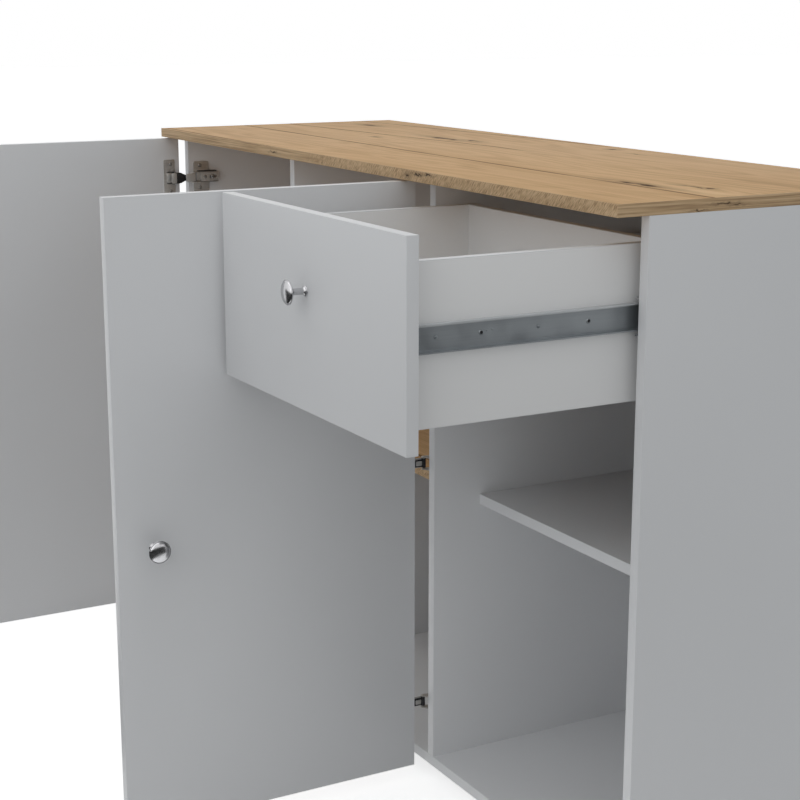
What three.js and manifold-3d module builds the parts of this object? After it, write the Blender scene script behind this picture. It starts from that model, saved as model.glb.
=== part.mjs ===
// Kitchen island unit: a three-bay carcass of 15 mm boards under an oak worktop, with two doors on
// cup hinges, one drawer on ball-bearing slides and an open bay below the drawer.
//
// Millimetres, +Z up, +X to the right for someone facing the doors, +Y from the front to the back.
// While the pieces are made, x is 0 at the middle of the width, y is 0 at the front edges of the
// uprights and z is 0 at the floor. Doors and drawer are made closed, and their groups open them:
// the doors turned out square, the drawer drawn out. The last lines move the whole unit so that
// the origin lies at the middle of the footprint of the opened unit.

import * as THREE from "three";
import { mergeVertices } from "three/addons/utils/BufferGeometryUtils.js";
import Module from "manifold-3d";

const manifold = await Module();
manifold.setup();

// ---------------------------------------------------------------- driving dimensions

const board = 15; // thickness of every carcass board, door and drawer front
const leftBay = 428; // clear width of the bay behind the left door
const middleBay = 428; // clear width of the bay behind the right door
const rightBay = 456; // clear width of the open bay with the drawer
const bodyDepth = 400; // uprights, front edge to back edge
const bodyHeight = 855; // underside of the bottom board to underside of the worktop
const worktopThickness = 15;
const frontOverhang = 44; // worktop in front of the uprights
const backOverhang = 20; // worktop behind the uprights
const fit = 0.3; // gap round a piece that sits in a cut of another piece

const foot = { height: 30, sole: 20, stem: 15, flange: 26, flangeThickness: 3, soleThickness: 4 };
const footInsetX = 45; // outer feet, from the outer faces of the side panels
const footInsetY = 75; // feet, from the front and back edges of the uprights

const shelfRise = 388.5; // undersides of the shelves, above the underside of the bottom board
const shelfSetback = 75; // front edges of the shelves, behind the front edges of the uprights

const frontGap = 2; // doors and drawer front stand this far in front of the uprights
const sideReveal = 1; // they stop this far inside the outer faces of the side panels
const topReveal = 2.5; // and this far below the worktop
const bottomReveal = 1; // the doors stop this far above the underside of the bottom board
const rightDoorOverlap = 5.5; // right door, over the front edge of the upright that carries it
const doorToDoor = 3;
const doorToDrawer = 2.5;
const openAngle = Math.PI / 2;
// The line a door turns about: from its hinge edge, and in front of its closed outer face.
// With the door open, the link's pin lies at standOff from its inner face, and the link enters
// the cup at intoMouth from the cup's middle.
const leftDoorPivot = { fromEdge: 0, inFront: 2, standOff: 10, intoMouth: 9 };
const rightDoorPivot = { fromEdge: 1.5, inFront: 6, standOff: 4.5, intoMouth: 11.5 };

const hinge = { underWorktop: 72.5, aboveShelf: 47, aboveBottom: 88.5 }; // middles of the hinges
const cup = { radius: 17.5, wall: 1.5, depth: 11.5, floorGap: 0.5, rimWidth: 1.2, fromEdge: 22.5 };
const cupLug = { clearance: 0.4, thickness: 1.5, belowRim: 1 }; // either side of the link's bend
const cupFlange = { fromEdge: 9, width: 21, height: 65, thickness: 1.2 };
const armPlate = { front: 9, width: 26, height: 54, thickness: 2.5 };
const arm = { back: 53, reach: 12.5, height: 19, sheet: 1.4, offFace: 1.5, nose: 3.6, webFront: 18 };
const pinDepth = 3.5; // the link's pin, behind the front edge of the upright
const linkPin = { radius: 1.6, clearance: 0.4 };
const link = { eye: 3.2, thickness: 3, sideGap: 1.1, intoCup: 4 };

const drawerFrontHeight = 235;
const drawerWall = 12;
const drawerRise = 20.5; // drawer sides, above the lower edge of the drawer front
const drawerDrop = 31.5; // and below its upper edge
const drawerBackInset = 8; // drawer back, in from the rear ends of the drawer sides
const drawerBottom = { thickness: 3, rise: 10, groove: 6 };

const slideSpace = 13; // from a carcass board to a drawer side
const slideStep = 50; // slides are made in lengths that rise by this
const slideStart = 3; // cabinet members, behind the front edges of the uprights
const slideBehindFront = 1; // drawer members, behind the drawer front
const slideEngaged = 55; // drawer member left in the cabinet member with the drawer drawn out
const slideRise = 100; // middle of the slides, above the lower edges of the drawer sides
const slideHeight = 45;
const slideSheet = 1.2;
const ballSpace = 5.55; // height for one row of balls between the two members
const outerLipGap = 3.5; // cabinet member's lips to the drawer side
const innerLipGap = 3.7; // drawer member's lips to the carcass board
const slideHole = { radius: 3, places: [91, 232] }; // from the front end of the drawer members
const cage = { length: 44, webStart: 1.6, web: 1, lipInset: 0.5, ballClearance: 0.775 };

const knobFromFreeEdge = 49;
const doorKnobRise = 396; // above the underside of the bottom board
const drawerKnobRise = 143.5; // above the lower edge of the drawer front
const knob = {
  base: 6.5, // radii: the base, the neck and the disc
  neck: 4,
  disc: 15,
  baseRim: 1.2, // distances from the face of the board
  baseShoulder: 2.6,
  neckStart: 4.5,
  neckEnd: 16,
  discStart: 22.8,
  length: 28,
  shoulderInset: 1.4, // the base's shoulder, in from its rim
  flare: 3, // widening of the neck towards the disc, over the same length
  backBevel: { width: 1.5, depth: 0.8 },
  rimBevel: 0.3,
  rim: 1.2,
  domeSteps: [0, 0.25, 0.5, 0.75],
};
const knobScrew = { radius: 2, intoKnob: 9, holeGap: 0.5 };
const screwHead = { radius: 4, height: 2.2, bevel: 1, bevelHeight: 1.2 };
const roundSegments = 24;
const overcut = 1; // cutting tools reach this far past the face they cut
const mergeDistance = 1e-3;

// ---------------------------------------------------------------- places that follow from them

const width = 4 * board + leftBay + middleBay + rightBay;
const outerRight = width / 2;
const outerLeft = -outerRight;
const leftBayStart = outerLeft + board;
const leftBayEnd = leftBayStart + leftBay;
const middleBayStart = leftBayEnd + board;
const middleBayEnd = middleBayStart + middleBay;
const rightBayStart = middleBayEnd + board;
const rightBayEnd = outerRight - board;

const underBody = foot.height;
const bayFloor = underBody + board;
const underWorktop = underBody + bodyHeight;
const worktopTop = underWorktop + worktopThickness;
const shelfUnderside = underBody + shelfRise;
const backBoardFront = bodyDepth - board;

const shelfTop = shelfUnderside + board;
const hingeHeights = {
  top: underWorktop - hinge.underWorktop,
  middle: shelfTop + hinge.aboveShelf,
  bottom: underBody + hinge.aboveBottom,
};
const linkHalfHeight = arm.height / 2 - arm.sheet - link.sideGap;

const innerFaceY = -frontGap; // inner faces of the closed doors and drawer front
const outerFaceY = innerFaceY - board;
const frontsTop = underWorktop - topReveal;
const doorFloor = underBody + bottomReveal;
const doorKnobZ = underBody + doorKnobRise;

const leftDoorStart = outerLeft + sideReveal;
const leftDoorEnd = leftBayEnd + (board - doorToDoor) / 2;
const rightDoorStart = leftDoorEnd + doorToDoor;
const rightDoorEnd = middleBayEnd + rightDoorOverlap;

const drawerFrontStart = rightDoorEnd + doorToDrawer;
const drawerFrontEnd = outerRight - sideReveal;
const drawerFrontFloor = frontsTop - drawerFrontHeight;
const drawerFloor = drawerFrontFloor + drawerRise;
const drawerTop = frontsTop - drawerDrop;
const drawerStart = rightBayStart + slideSpace;
const drawerEnd = rightBayEnd - slideSpace;

const slideLength = slideStep * Math.floor((backBoardFront - slideStart) / slideStep);
const innerSlideFront = innerFaceY + slideBehindFront;
const drawerRear = innerFaceY + slideLength;
const drawerExtension = innerSlideFront + slideLength - slideStart - slideEngaged;
const slideZ = drawerFloor + slideRise;
const outerLips = slideSpace - outerLipGap; // distances from the carcass board's face
const innerSlideHeight = slideHeight - 2 * (slideSheet + ballSpace);

// ---------------------------------------------------------------- finishes

function finish(color, roughness, metalness) {
  return () => new THREE.MeshStandardMaterial({ color, roughness, metalness });
}

const white = finish(0xdcdce0, 0.45, 0);
const oak = finish(0xbc9870, 0.6, 0);
const slideSteel = finish(0x9aa0a4, 0.35, 1);
const hingeSteel = finish(0x8a8782, 0.35, 1);
const linkSteel = finish(0x45454a, 0.4, 1);
const chrome = finish(0xc8c8cc, 0.12, 1);
const footPlastic = finish(0x2a2a2c, 0.6, 0);

function piece(name, geometry, makeMaterial) {
  const mesh = new THREE.Mesh(geometry, makeMaterial());
  mesh.name = name;
  return mesh;
}

// ---------------------------------------------------------------- shapes

// A box between two opposite corners. Its vertices are the corners' own numbers, so two boards
// that share a face meet in the same plane.
function box(from, to) {
  const low = from.map((value, axis) => Math.min(value, to[axis]));
  const high = from.map((value, axis) => Math.max(value, to[axis]));
  const geometry = new THREE.BoxGeometry(1, 1, 1);
  const place = geometry.getAttribute("position");
  for (let i = 0; i < place.count; i += 1) {
    place.setX(i, place.getX(i) < 0 ? low[0] : high[0]);
    place.setY(i, place.getY(i) < 0 ? low[1] : high[1]);
    place.setZ(i, place.getZ(i) < 0 ? low[2] : high[2]);
  }
  return geometry;
}

function shapeOf(outline) {
  return new THREE.Shape(outline.map(([a, b]) => new THREE.Vector2(a, b)));
}

// An outline of [x, z] pairs drawn along y from front to back.
function bar(outline, front, back) {
  const geometry = new THREE.ExtrudeGeometry(shapeOf(outline), { depth: 1, bevelEnabled: false });
  const place = geometry.getAttribute("position");
  for (let i = 0; i < place.count; i += 1) {
    const y = place.getZ(i) > 0.5 ? front : back;
    place.setXYZ(i, place.getX(i), y, place.getY(i));
  }
  return geometry;
}

// An outline of [x, y] pairs raised from one height to another.
function plate(outline, low, high) {
  const depth = high - low;
  const geometry = new THREE.ExtrudeGeometry(shapeOf(outline), { depth, bevelEnabled: false });
  return geometry.translate(0, 0, low);
}

// A profile of [z, radius] pairs turned about the upright line through x and y.
function turnedUpright(profile, x, y) {
  const points = profile.map(([z, radius]) => new THREE.Vector2(radius, z));
  return new THREE.LatheGeometry(points, roundSegments).rotateX(Math.PI / 2).translate(x, y, 0);
}

// A profile of [y, radius] pairs turned about the line through x and z that runs to the front.
function turnedForward(profile, x, z) {
  const points = profile.map(([y, radius]) => new THREE.Vector2(radius, -y));
  return new THREE.LatheGeometry(points, roundSegments).rotateX(Math.PI).translate(x, 0, z);
}

function uprightRod(radius, low, high, x, y) {
  return turnedUpright([[low, 0], [low, radius], [high, radius], [high, 0]], x, y);
}

function levelRod(radius, back, front, x, z) {
  return turnedForward([[back, 0], [back, radius], [front, radius], [front, 0]], x, z);
}

// The same rod lying along x.
function crossRod(radius, from, to, y, z) {
  const rod = new THREE.CylinderGeometry(radius, radius, Math.abs(to - from), roundSegments);
  return rod.rotateZ(Math.PI / 2).translate((from + to) / 2, y, z);
}

function solidOf(geometry) {
  const bare = geometry.index ? geometry.toNonIndexed() : geometry.clone();
  bare.deleteAttribute("normal");
  bare.deleteAttribute("uv");
  const merged = mergeVertices(bare, mergeDistance);
  const mesh = new manifold.Mesh({
    numProp: 3,
    vertProperties: new Float32Array(merged.getAttribute("position").array),
    triVerts: new Uint32Array(merged.index.array),
  });
  return new manifold.Manifold(mesh);
}

function geometryOf(solid) {
  const mesh = solid.getMesh();
  const geometry = new THREE.BufferGeometry();
  geometry.setAttribute("position", new THREE.BufferAttribute(mesh.vertProperties, 3));
  geometry.setIndex(new THREE.BufferAttribute(mesh.triVerts, 1));
  const faceted = geometry.toNonIndexed();
  faceted.computeVertexNormals();
  return faceted;
}

function cut(geometry, tools) {
  return geometryOf(tools.reduce((left, tool) => left.subtract(solidOf(tool)), solidOf(geometry)));
}

function joined(geometries) {
  return geometryOf(geometries.map(solidOf).reduce((all, one) => all.add(one)));
}

// ---------------------------------------------------------------- carcass

function upright(name, start) {
  return piece(name, box([start, 0, underBody], [start + board, bodyDepth, underWorktop]), white);
}

function divider(name, start) {
  return piece(name, box([start, 0, bayFloor], [start + board, bodyDepth, underWorktop]), white);
}

function backBoard(name, start, end) {
  const geometry = box([start, backBoardFront, bayFloor], [end, bodyDepth, underWorktop]);
  return piece(name, geometry, white);
}

function shelf(name, start, end, makeMaterial) {
  const low = [start, shelfSetback, shelfUnderside];
  const high = [end, backBoardFront, shelfTop];
  return piece(name, box(low, high), makeMaterial);
}

function footAt(name, x, y) {
  const underFlange = foot.height - foot.flangeThickness;
  const profile = [
    [0, 0],
    [0, foot.sole],
    [foot.soleThickness, foot.sole],
    [2 * foot.soleThickness, foot.stem],
    [underFlange, foot.stem],
    [underFlange, foot.flange],
    [foot.height, foot.flange],
    [foot.height, 0],
  ];
  return piece(name, turnedUpright(profile, x, y), footPlastic);
}

function makeFeet() {
  const columns = {
    left: outerLeft + footInsetX,
    divider_left: leftBayEnd + board / 2,
    divider_right: middleBayEnd + board / 2,
    right: outerRight - footInsetX,
  };
  const rows = { front: footInsetY, back: bodyDepth - footInsetY };
  return Object.entries(columns).flatMap(([column, x]) =>
    Object.entries(rows).map(([row, y]) => footAt(`foot_${row}_${column}`, x, y)),
  );
}

function makeCarcass() {
  const carcass = new THREE.Group();
  const worktopFront = [outerLeft, -frontOverhang, underWorktop];
  const worktopBack = [outerRight, bodyDepth + backOverhang, worktopTop];
  carcass.add(
    piece("worktop", box(worktopFront, worktopBack), oak),
    upright("side_panel_left", outerLeft),
    upright("side_panel_right", rightBayEnd),
    divider("divider_left", leftBayEnd),
    divider("divider_right", middleBayEnd),
    piece("bottom_panel", box([leftBayStart, 0, underBody], [rightBayEnd, bodyDepth, bayFloor]), white),
    backBoard("back_left", leftBayStart, leftBayEnd),
    backBoard("back_middle", middleBayStart, middleBayEnd),
    backBoard("back_right", rightBayStart, rightBayEnd),
    shelf("shelf_left", leftBayStart, leftBayEnd, oak),
    shelf("shelf_middle", middleBayStart, middleBayEnd, oak),
    shelf("shelf_right", rightBayStart, rightBayEnd, white),
    ...makeFeet(),
  );
  return carcass;
}

// ---------------------------------------------------------------- knobs

// A knob on the front of a closed board, with a blind hole for its screw.
function knobGeometry(x, z) {
  const at = (distance) => outerFaceY - distance;
  const holeEnd = at(knobScrew.intoKnob + fit);
  const holeRadius = knobScrew.radius + fit;
  const rimRadius = knob.disc - knob.rimBevel;
  const domeRise = knob.length - knob.discStart - knob.rim;
  const dome = knob.domeSteps.map((step) => {
    const angle = (step * Math.PI) / 2;
    return [knob.discStart + knob.rim + domeRise * Math.sin(angle), knob.disc * Math.cos(angle)];
  });
  const profile = [
    [holeEnd, 0],
    [holeEnd, holeRadius],
    [at(0), holeRadius],
    [at(0), knob.base],
    [at(knob.baseRim), knob.base],
    [at(knob.baseShoulder), knob.base - knob.shoulderInset],
    [at(knob.neckStart), knob.neck],
    [at(knob.neckEnd), knob.neck],
    [at(knob.neckEnd + knob.flare), knob.neck + knob.flare],
    [at(knob.discStart - knob.backBevel.depth), rimRadius - knob.backBevel.width],
    [at(knob.discStart), rimRadius],
    ...dome.map(([distance, radius]) => [at(distance), radius]),
    [at(knob.length), 0],
  ];
  return turnedForward(profile, x, z);
}

// The screw that holds a knob, its head on the back of the board.
function knobScrewGeometry(x, z) {
  const tip = outerFaceY - knobScrew.intoKnob;
  const headBack = innerFaceY + screwHead.height;
  const profile = [
    [headBack, 0],
    [headBack, screwHead.radius - screwHead.bevel],
    [headBack - screwHead.bevelHeight, screwHead.radius],
    [innerFaceY, screwHead.radius],
    [innerFaceY, knobScrew.radius],
    [tip, knobScrew.radius],
    [tip, 0],
  ];
  return turnedForward(profile, x, z);
}

function knobHole(x, z) {
  const radius = knobScrew.radius + knobScrew.holeGap;
  return levelRod(radius, innerFaceY + overcut, outerFaceY - overcut, x, z);
}

// ---------------------------------------------------------------- doors and hinges

// What a door and its hinges share. inward is +1 where the bay lies to the right of the upright
// that carries the door, and -1 where it lies to the left.
function doorPlan(name, start, end, uprightFace, inward, pivotFrom) {
  const edge = inward > 0 ? start : end;
  const freeEdge = inward > 0 ? end : start;
  const pivotX = edge + inward * pivotFrom.fromEdge;
  const pivotY = outerFaceY - pivotFrom.inFront;
  const cupX = edge + inward * cup.fromEdge;
  const openInnerX = pivotX + inward * (innerFaceY - pivotY);
  return {
    name,
    start,
    end,
    uprightFace,
    inward,
    edge,
    pivotX,
    pivotY,
    cupX,
    knobX: freeEdge - inward * knobFromFreeEdge,
    linkX: openInnerX + inward * pivotFrom.standOff,
    linkEndY: pivotY - Math.abs(cupX - pivotX) + pivotFrom.intoMouth,
    openInnerX,
    openOuterX: pivotX + inward * (outerFaceY - pivotY),
    openEndY: pivotY - Math.abs(freeEdge - pivotX),
  };
}

// The two lugs inside a cup that guide the end of the link.
function cupLugs(plan, z) {
  const near = linkHalfHeight + cupLug.clearance;
  const far = near + cupLug.thickness;
  const halfLength = Math.sqrt(cup.radius ** 2 - far ** 2) - cup.wall / 2;
  return [-1, 1].map((side) =>
    box(
      [plan.cupX - halfLength, innerFaceY - cup.depth + cup.wall / 2, z + side * near],
      [plan.cupX + halfLength, innerFaceY - cupLug.belowRim, z + side * far],
    ),
  );
}

function cupGeometry(plan, z) {
  const inner = cup.radius - cup.wall;
  const rim = cup.radius + cup.rimWidth;
  const rimBack = innerFaceY + cupFlange.thickness;
  const pot = turnedForward(
    [
      [innerFaceY - cup.depth + cup.wall, 0],
      [innerFaceY - cup.depth + cup.wall, inner],
      [rimBack, inner],
      [rimBack, rim],
      [innerFaceY + fit, rim],
      [innerFaceY + fit, cup.radius],
      [innerFaceY - cup.depth, cup.radius],
      [innerFaceY - cup.depth, 0],
    ],
    plan.cupX,
    z,
  );
  const flangeStart = plan.edge + plan.inward * cupFlange.fromEdge;
  const flangeEnd = flangeStart + plan.inward * cupFlange.width;
  const flange = box(
    [flangeStart, innerFaceY, z - cupFlange.height / 2],
    [flangeEnd, rimBack, z + cupFlange.height / 2],
  );
  const mouthRadius = inner + cup.wall / 2;
  const mouth = levelRod(mouthRadius, rimBack + overcut, innerFaceY - overcut, plan.cupX, z);
  return joined([cut(flange, [mouth]), pot, ...cupLugs(plan, z)]);
}

function doorGeometry(plan) {
  const low = [plan.start, outerFaceY, doorFloor];
  const high = [plan.end, innerFaceY, frontsTop];
  const holeEnd = innerFaceY - cup.depth - cup.floorGap;
  const cupHoles = Object.values(hingeHeights).map((z) =>
    levelRod(cup.radius + fit, innerFaceY + overcut, holeEnd, plan.cupX, z),
  );
  return cut(box(low, high), [...cupHoles, knobHole(plan.knobX, doorKnobZ)]);
}

// A folded sheet arm on its mounting plate. Two cheeks run forward to the link's pin.
function armGeometry(plan, z) {
  const at = (distance) => plan.uprightFace + plan.inward * distance;
  const pinReach = Math.abs(plan.linkX - plan.uprightFace);
  const noseFront = pinDepth - arm.nose;
  const noseBack = pinDepth + arm.nose;
  const outline = [
    [at(arm.offFace), arm.back],
    [at(arm.offFace), armPlate.front],
    [at(pinReach - arm.nose), noseFront],
    [at(pinReach + arm.nose), noseFront],
    [at(pinReach + arm.nose), noseBack],
    [at(arm.reach), arm.webFront],
    [at(arm.reach), arm.back],
  ];
  const half = arm.height / 2;
  const cheeks = [
    plate(outline, z - half, z - half + arm.sheet),
    plate(outline, z + half - arm.sheet, z + half),
  ];
  const web = box([at(arm.reach - arm.sheet), arm.webFront, z - half], [at(arm.reach), arm.back, z + half]);
  const wings = box(
    [at(0), armPlate.front, z - armPlate.height / 2],
    [at(armPlate.thickness), armPlate.front + armPlate.width, z + armPlate.height / 2],
  );
  const pinEnd = half - arm.sheet / 2;
  const pin = uprightRod(linkPin.radius, z - pinEnd, z + pinEnd, plan.linkX, pinDepth);
  return joined([wings, ...cheeks, web, pin]);
}

// The link between arm and cup. It turns on the arm's pin, and its bent end stands free inside
// the open cup.
function linkGeometry(plan, z) {
  const low = z - linkHalfHeight;
  const high = z + linkHalfHeight;
  const half = link.thickness / 2;
  const endX = plan.openInnerX - plan.inward * link.intoCup;
  const eye = uprightRod(link.eye, low, high, plan.linkX, pinDepth);
  const strip = box([plan.linkX - half, plan.linkEndY - half, low], [plan.linkX + half, pinDepth, high]);
  const bend = box([endX, plan.linkEndY - half, low], [plan.linkX, plan.linkEndY + half, high]);
  const holeRadius = linkPin.radius + linkPin.clearance;
  const hole = uprightRod(holeRadius, low - overcut, high + overcut, plan.linkX, pinDepth);
  return cut(joined([eye, strip, bend]), [hole]);
}

function makeDoor(plan) {
  const hinges = Object.entries(hingeHeights);
  const closed = new THREE.Group();
  closed.position.set(-plan.pivotX, -plan.pivotY, 0);
  closed.add(
    piece(`door_${plan.name}`, doorGeometry(plan), white),
    piece(`door_knob_${plan.name}`, knobGeometry(plan.knobX, doorKnobZ), chrome),
    piece(`door_knob_screw_${plan.name}`, knobScrewGeometry(plan.knobX, doorKnobZ), hingeSteel),
    ...hinges.map(([place, z]) =>
      piece(`hinge_cup_${plan.name}_${place}`, cupGeometry(plan, z), hingeSteel),
    ),
  );
  const turning = new THREE.Group();
  turning.position.set(plan.pivotX, plan.pivotY, 0);
  turning.rotation.z = -plan.inward * openAngle;
  turning.add(closed);

  const door = new THREE.Group();
  door.add(turning);
  hinges.forEach(([place, z]) => {
    door.add(
      piece(`hinge_arm_${plan.name}_${place}`, armGeometry(plan, z), hingeSteel),
      piece(`hinge_link_${plan.name}_${place}`, linkGeometry(plan, z), linkSteel),
    );
  });
  return door;
}

// ---------------------------------------------------------------- drawer and slides

// A channel section as [x, z] pairs: its back at the distance back from the carcass face, its
// flanges running to the distance lips.
function channel(face, inward, back, lips, height) {
  const sheet = Math.sign(lips - back) * slideSheet;
  const half = height / 2;
  const outline = [
    [back, -half],
    [lips, -half],
    [lips, slideSheet - half],
    [back + sheet, slideSheet - half],
    [back + sheet, half - slideSheet],
    [lips, half - slideSheet],
    [lips, half],
    [back, half],
  ];
  return outline.map(([distance, rise]) => [face + inward * distance, slideZ + rise]);
}

function outerSlideGeometry(face, inward) {
  const outline = channel(face, inward, 0, outerLips, slideHeight);
  return bar(outline, slideStart, slideStart + slideLength);
}

function innerSlideGeometry(face, inward) {
  const outline = channel(face, inward, slideSpace, innerLipGap, innerSlideHeight);
  const geometry = bar(outline, innerSlideFront, innerSlideFront + slideLength);
  const from = face + inward * (slideSpace - 2 * slideSheet);
  const to = face + inward * (slideSpace + slideSheet);
  const holes = slideHole.places.map((place) =>
    crossRod(slideHole.radius, from, to, innerSlideFront + place, slideZ),
  );
  return cut(geometry, holes);
}

// The strip that holds both rows of balls, halfway along the cabinet member when closed.
function cageGeometry(face, inward) {
  const at = (distance) => face + inward * distance;
  const high = slideHeight / 2 - slideSheet - cage.ballClearance;
  const low = innerSlideHeight / 2 + cage.ballClearance;
  const back = at(cage.webStart);
  const web = at(cage.webStart + cage.web);
  const lips = at(outerLips - cage.lipInset);
  const outline = [
    [back, -high],
    [lips, -high],
    [lips, -low],
    [web, -low],
    [web, low],
    [lips, low],
    [lips, high],
    [back, high],
  ];
  const middle = slideStart + slideLength / 2;
  const raised = outline.map(([x, rise]) => [x, slideZ + rise]);
  return bar(raised, middle - cage.length / 2, middle + cage.length / 2);
}

function makeDrawerBox() {
  const bottomLow = drawerFloor + drawerBottom.rise;
  const bottomHigh = bottomLow + drawerBottom.thickness;
  const innerStart = drawerStart + drawerWall;
  const innerEnd = drawerEnd - drawerWall;
  const grooveStart = innerStart - drawerBottom.groove;
  const grooveEnd = innerEnd + drawerBottom.groove;
  const groove = box(
    [grooveStart, innerFaceY - overcut, bottomLow - fit],
    [grooveEnd, drawerRear + overcut, bottomHigh + fit],
  );
  const leftSide = box([drawerStart, innerFaceY, drawerFloor], [innerStart, drawerRear, drawerTop]);
  const rightSide = box([innerEnd, innerFaceY, drawerFloor], [drawerEnd, drawerRear, drawerTop]);
  const backEnd = drawerRear - drawerBackInset;
  const back = box([innerStart, backEnd - drawerWall, bottomHigh], [innerEnd, backEnd, drawerTop]);
  const bottom = box([grooveStart + fit, innerFaceY, bottomLow], [grooveEnd - fit, backEnd, bottomHigh]);
  return [
    piece("drawer_side_left", cut(leftSide, [groove]), white),
    piece("drawer_side_right", cut(rightSide, [groove]), white),
    piece("drawer_back", back, white),
    piece("drawer_bottom", bottom, white),
  ];
}

function makeDrawer() {
  const knobX = (drawerFrontStart + drawerFrontEnd) / 2;
  const knobZ = drawerFrontFloor + drawerKnobRise;
  const front = box(
    [drawerFrontStart, outerFaceY, drawerFrontFloor],
    [drawerFrontEnd, innerFaceY, frontsTop],
  );
  const drawer = new THREE.Group();
  drawer.position.y = -drawerExtension;
  drawer.add(
    piece("drawer_front", cut(front, [knobHole(knobX, knobZ)]), white),
    ...makeDrawerBox(),
    piece("drawer_knob", knobGeometry(knobX, knobZ), chrome),
    piece("drawer_knob_screw", knobScrewGeometry(knobX, knobZ), hingeSteel),
    piece("slide_inner_left", innerSlideGeometry(rightBayStart, 1), slideSteel),
    piece("slide_inner_right", innerSlideGeometry(rightBayEnd, -1), slideSteel),
  );
  const cages = new THREE.Group();
  cages.position.y = -drawerExtension / 2;
  cages.add(
    piece("slide_cage_left", cageGeometry(rightBayStart, 1), slideSteel),
    piece("slide_cage_right", cageGeometry(rightBayEnd, -1), slideSteel),
  );
  const bay = new THREE.Group();
  bay.add(
    piece("slide_outer_left", outerSlideGeometry(rightBayStart, 1), slideSteel),
    piece("slide_outer_right", outerSlideGeometry(rightBayEnd, -1), slideSteel),
    drawer,
    cages,
  );
  return bay;
}

// ---------------------------------------------------------------- the whole unit

const leftPlan = doorPlan("left", leftDoorStart, leftDoorEnd, leftBayStart, 1, leftDoorPivot);
const rightPlan = doorPlan("right", rightDoorStart, rightDoorEnd, middleBayEnd, -1, rightDoorPivot);

const knobTip = leftPlan.openOuterX - leftPlan.inward * knob.length;
const footprint = {
  left: Math.min(outerLeft, knobTip),
  right: outerRight,
  front: Math.min(leftPlan.openEndY, rightPlan.openEndY),
  back: bodyDepth + backOverhang,
};

const unit = new THREE.Group();
unit.position.x = -(footprint.left + footprint.right) / 2;
unit.position.y = -(footprint.front + footprint.back) / 2;
unit.add(makeCarcass(), makeDoor(leftPlan), makeDoor(rightPlan), makeDrawer());

const island = new THREE.Group();
island.add(unit);

export default island;
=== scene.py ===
"""Looks of the kitchen island unit: its boards, edge bands, knobs, hinges, slides, feet and finishes.

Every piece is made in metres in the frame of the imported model: +X to the right for someone facing
the doors, +Y to the back, +Z up. At rest both doors stand open at a right angle and the drawer is
drawn out.
"""

from __future__ import annotations

import logging
import math
from collections.abc import Iterable, Mapping, Sequence
from dataclasses import dataclass
from enum import Enum

import bmesh
import bpy
from mathutils import Matrix, Vector

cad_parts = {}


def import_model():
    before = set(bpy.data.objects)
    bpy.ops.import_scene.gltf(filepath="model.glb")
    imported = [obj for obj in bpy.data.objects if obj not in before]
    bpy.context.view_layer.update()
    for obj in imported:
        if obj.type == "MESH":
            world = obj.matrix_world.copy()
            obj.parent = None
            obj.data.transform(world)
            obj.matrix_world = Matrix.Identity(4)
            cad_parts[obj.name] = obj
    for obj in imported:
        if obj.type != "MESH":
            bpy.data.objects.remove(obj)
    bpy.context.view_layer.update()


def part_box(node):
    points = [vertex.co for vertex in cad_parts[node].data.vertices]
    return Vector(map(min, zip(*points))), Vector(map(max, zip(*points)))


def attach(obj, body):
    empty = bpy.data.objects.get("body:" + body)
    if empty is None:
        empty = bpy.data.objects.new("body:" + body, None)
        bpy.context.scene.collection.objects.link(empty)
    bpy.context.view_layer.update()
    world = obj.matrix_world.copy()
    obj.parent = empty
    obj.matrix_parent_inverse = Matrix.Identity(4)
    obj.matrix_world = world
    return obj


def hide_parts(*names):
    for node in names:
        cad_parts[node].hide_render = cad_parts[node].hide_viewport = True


log = logging.getLogger("kitchen_island")

MM = 0.001
# An outline's two directions and its normal go to x, z and y, or to y, z and x.
SIDEWAYS = Matrix(((1, 0, 0), (0, 0, 1), (0, 1, 0))).to_4x4()
ENDWAYS = Matrix(((0, 0, 1), (1, 0, 0), (0, 1, 0))).to_4x4()
UPRIGHT = Matrix.Rotation(math.pi / 2, 4, "X")
TURNED_OVER = Matrix.Rotation(math.pi, 4, "X")

Colour = tuple[float, float, float]
Place = tuple[float, float, float]
Point = tuple[float, float]
Outline = list[Point]
Mesh = bpy.types.Mesh
Socket = bpy.types.NodeSocket


class Slot(Enum):
    """The record's material slots."""

    WHITE = "white_board"
    OAK = "oak_board"
    SLIDE = "slide_steel"
    HINGE = "hinge_steel"
    LINK = "link_steel"
    CHROME = "knob_chrome"
    FOOT = "foot_plastic"


class Side(Enum):
    """A side of an upright box, as the axis it faces along and the direction."""

    LEFT = (0, -1)
    RIGHT = (0, 1)
    FRONT = (1, -1)
    BACK = (1, 1)
    UNDER = (2, -1)
    TOP = (2, 1)

    @property
    def axis(self) -> int:
        """Number of the axis that the side faces along."""
        return self.value[0]

    @property
    def sign(self) -> int:
        """Direction that the side faces, -1 or 1."""
        return self.value[1]

    def opposite(self) -> Side:
        """The side across the box."""
        return Side((self.axis, -self.sign))

    def of(self, low: Vector, high: Vector) -> float:
        """Where this side of a box lies along its axis."""
        return high[self.axis] if self.sign > 0 else low[self.axis]

    def frame(self, origin: Vector) -> Matrix:
        """A frame on this side, its z pointing out of the box.

        Args:
            origin: Where the frame has its origin.

        Returns:
            The frame's matrix.
        """
        out = Vector((0, 0, 0))
        out[self.axis] = self.sign
        up = Vector((0, 1, 0)) if self.axis == 2 else Vector((0, 0, 1))
        return frame_at(origin, up.cross(out), up, out)

    def backward_frame(self, origin: Vector) -> Matrix:
        """A frame on this side: x to the back of the unit, y up, z out of the box."""
        return frame_at(origin, Vector((0, 1, 0)), Vector((0, 0, 1)), Vector((self.sign, 0, 0)))


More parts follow.
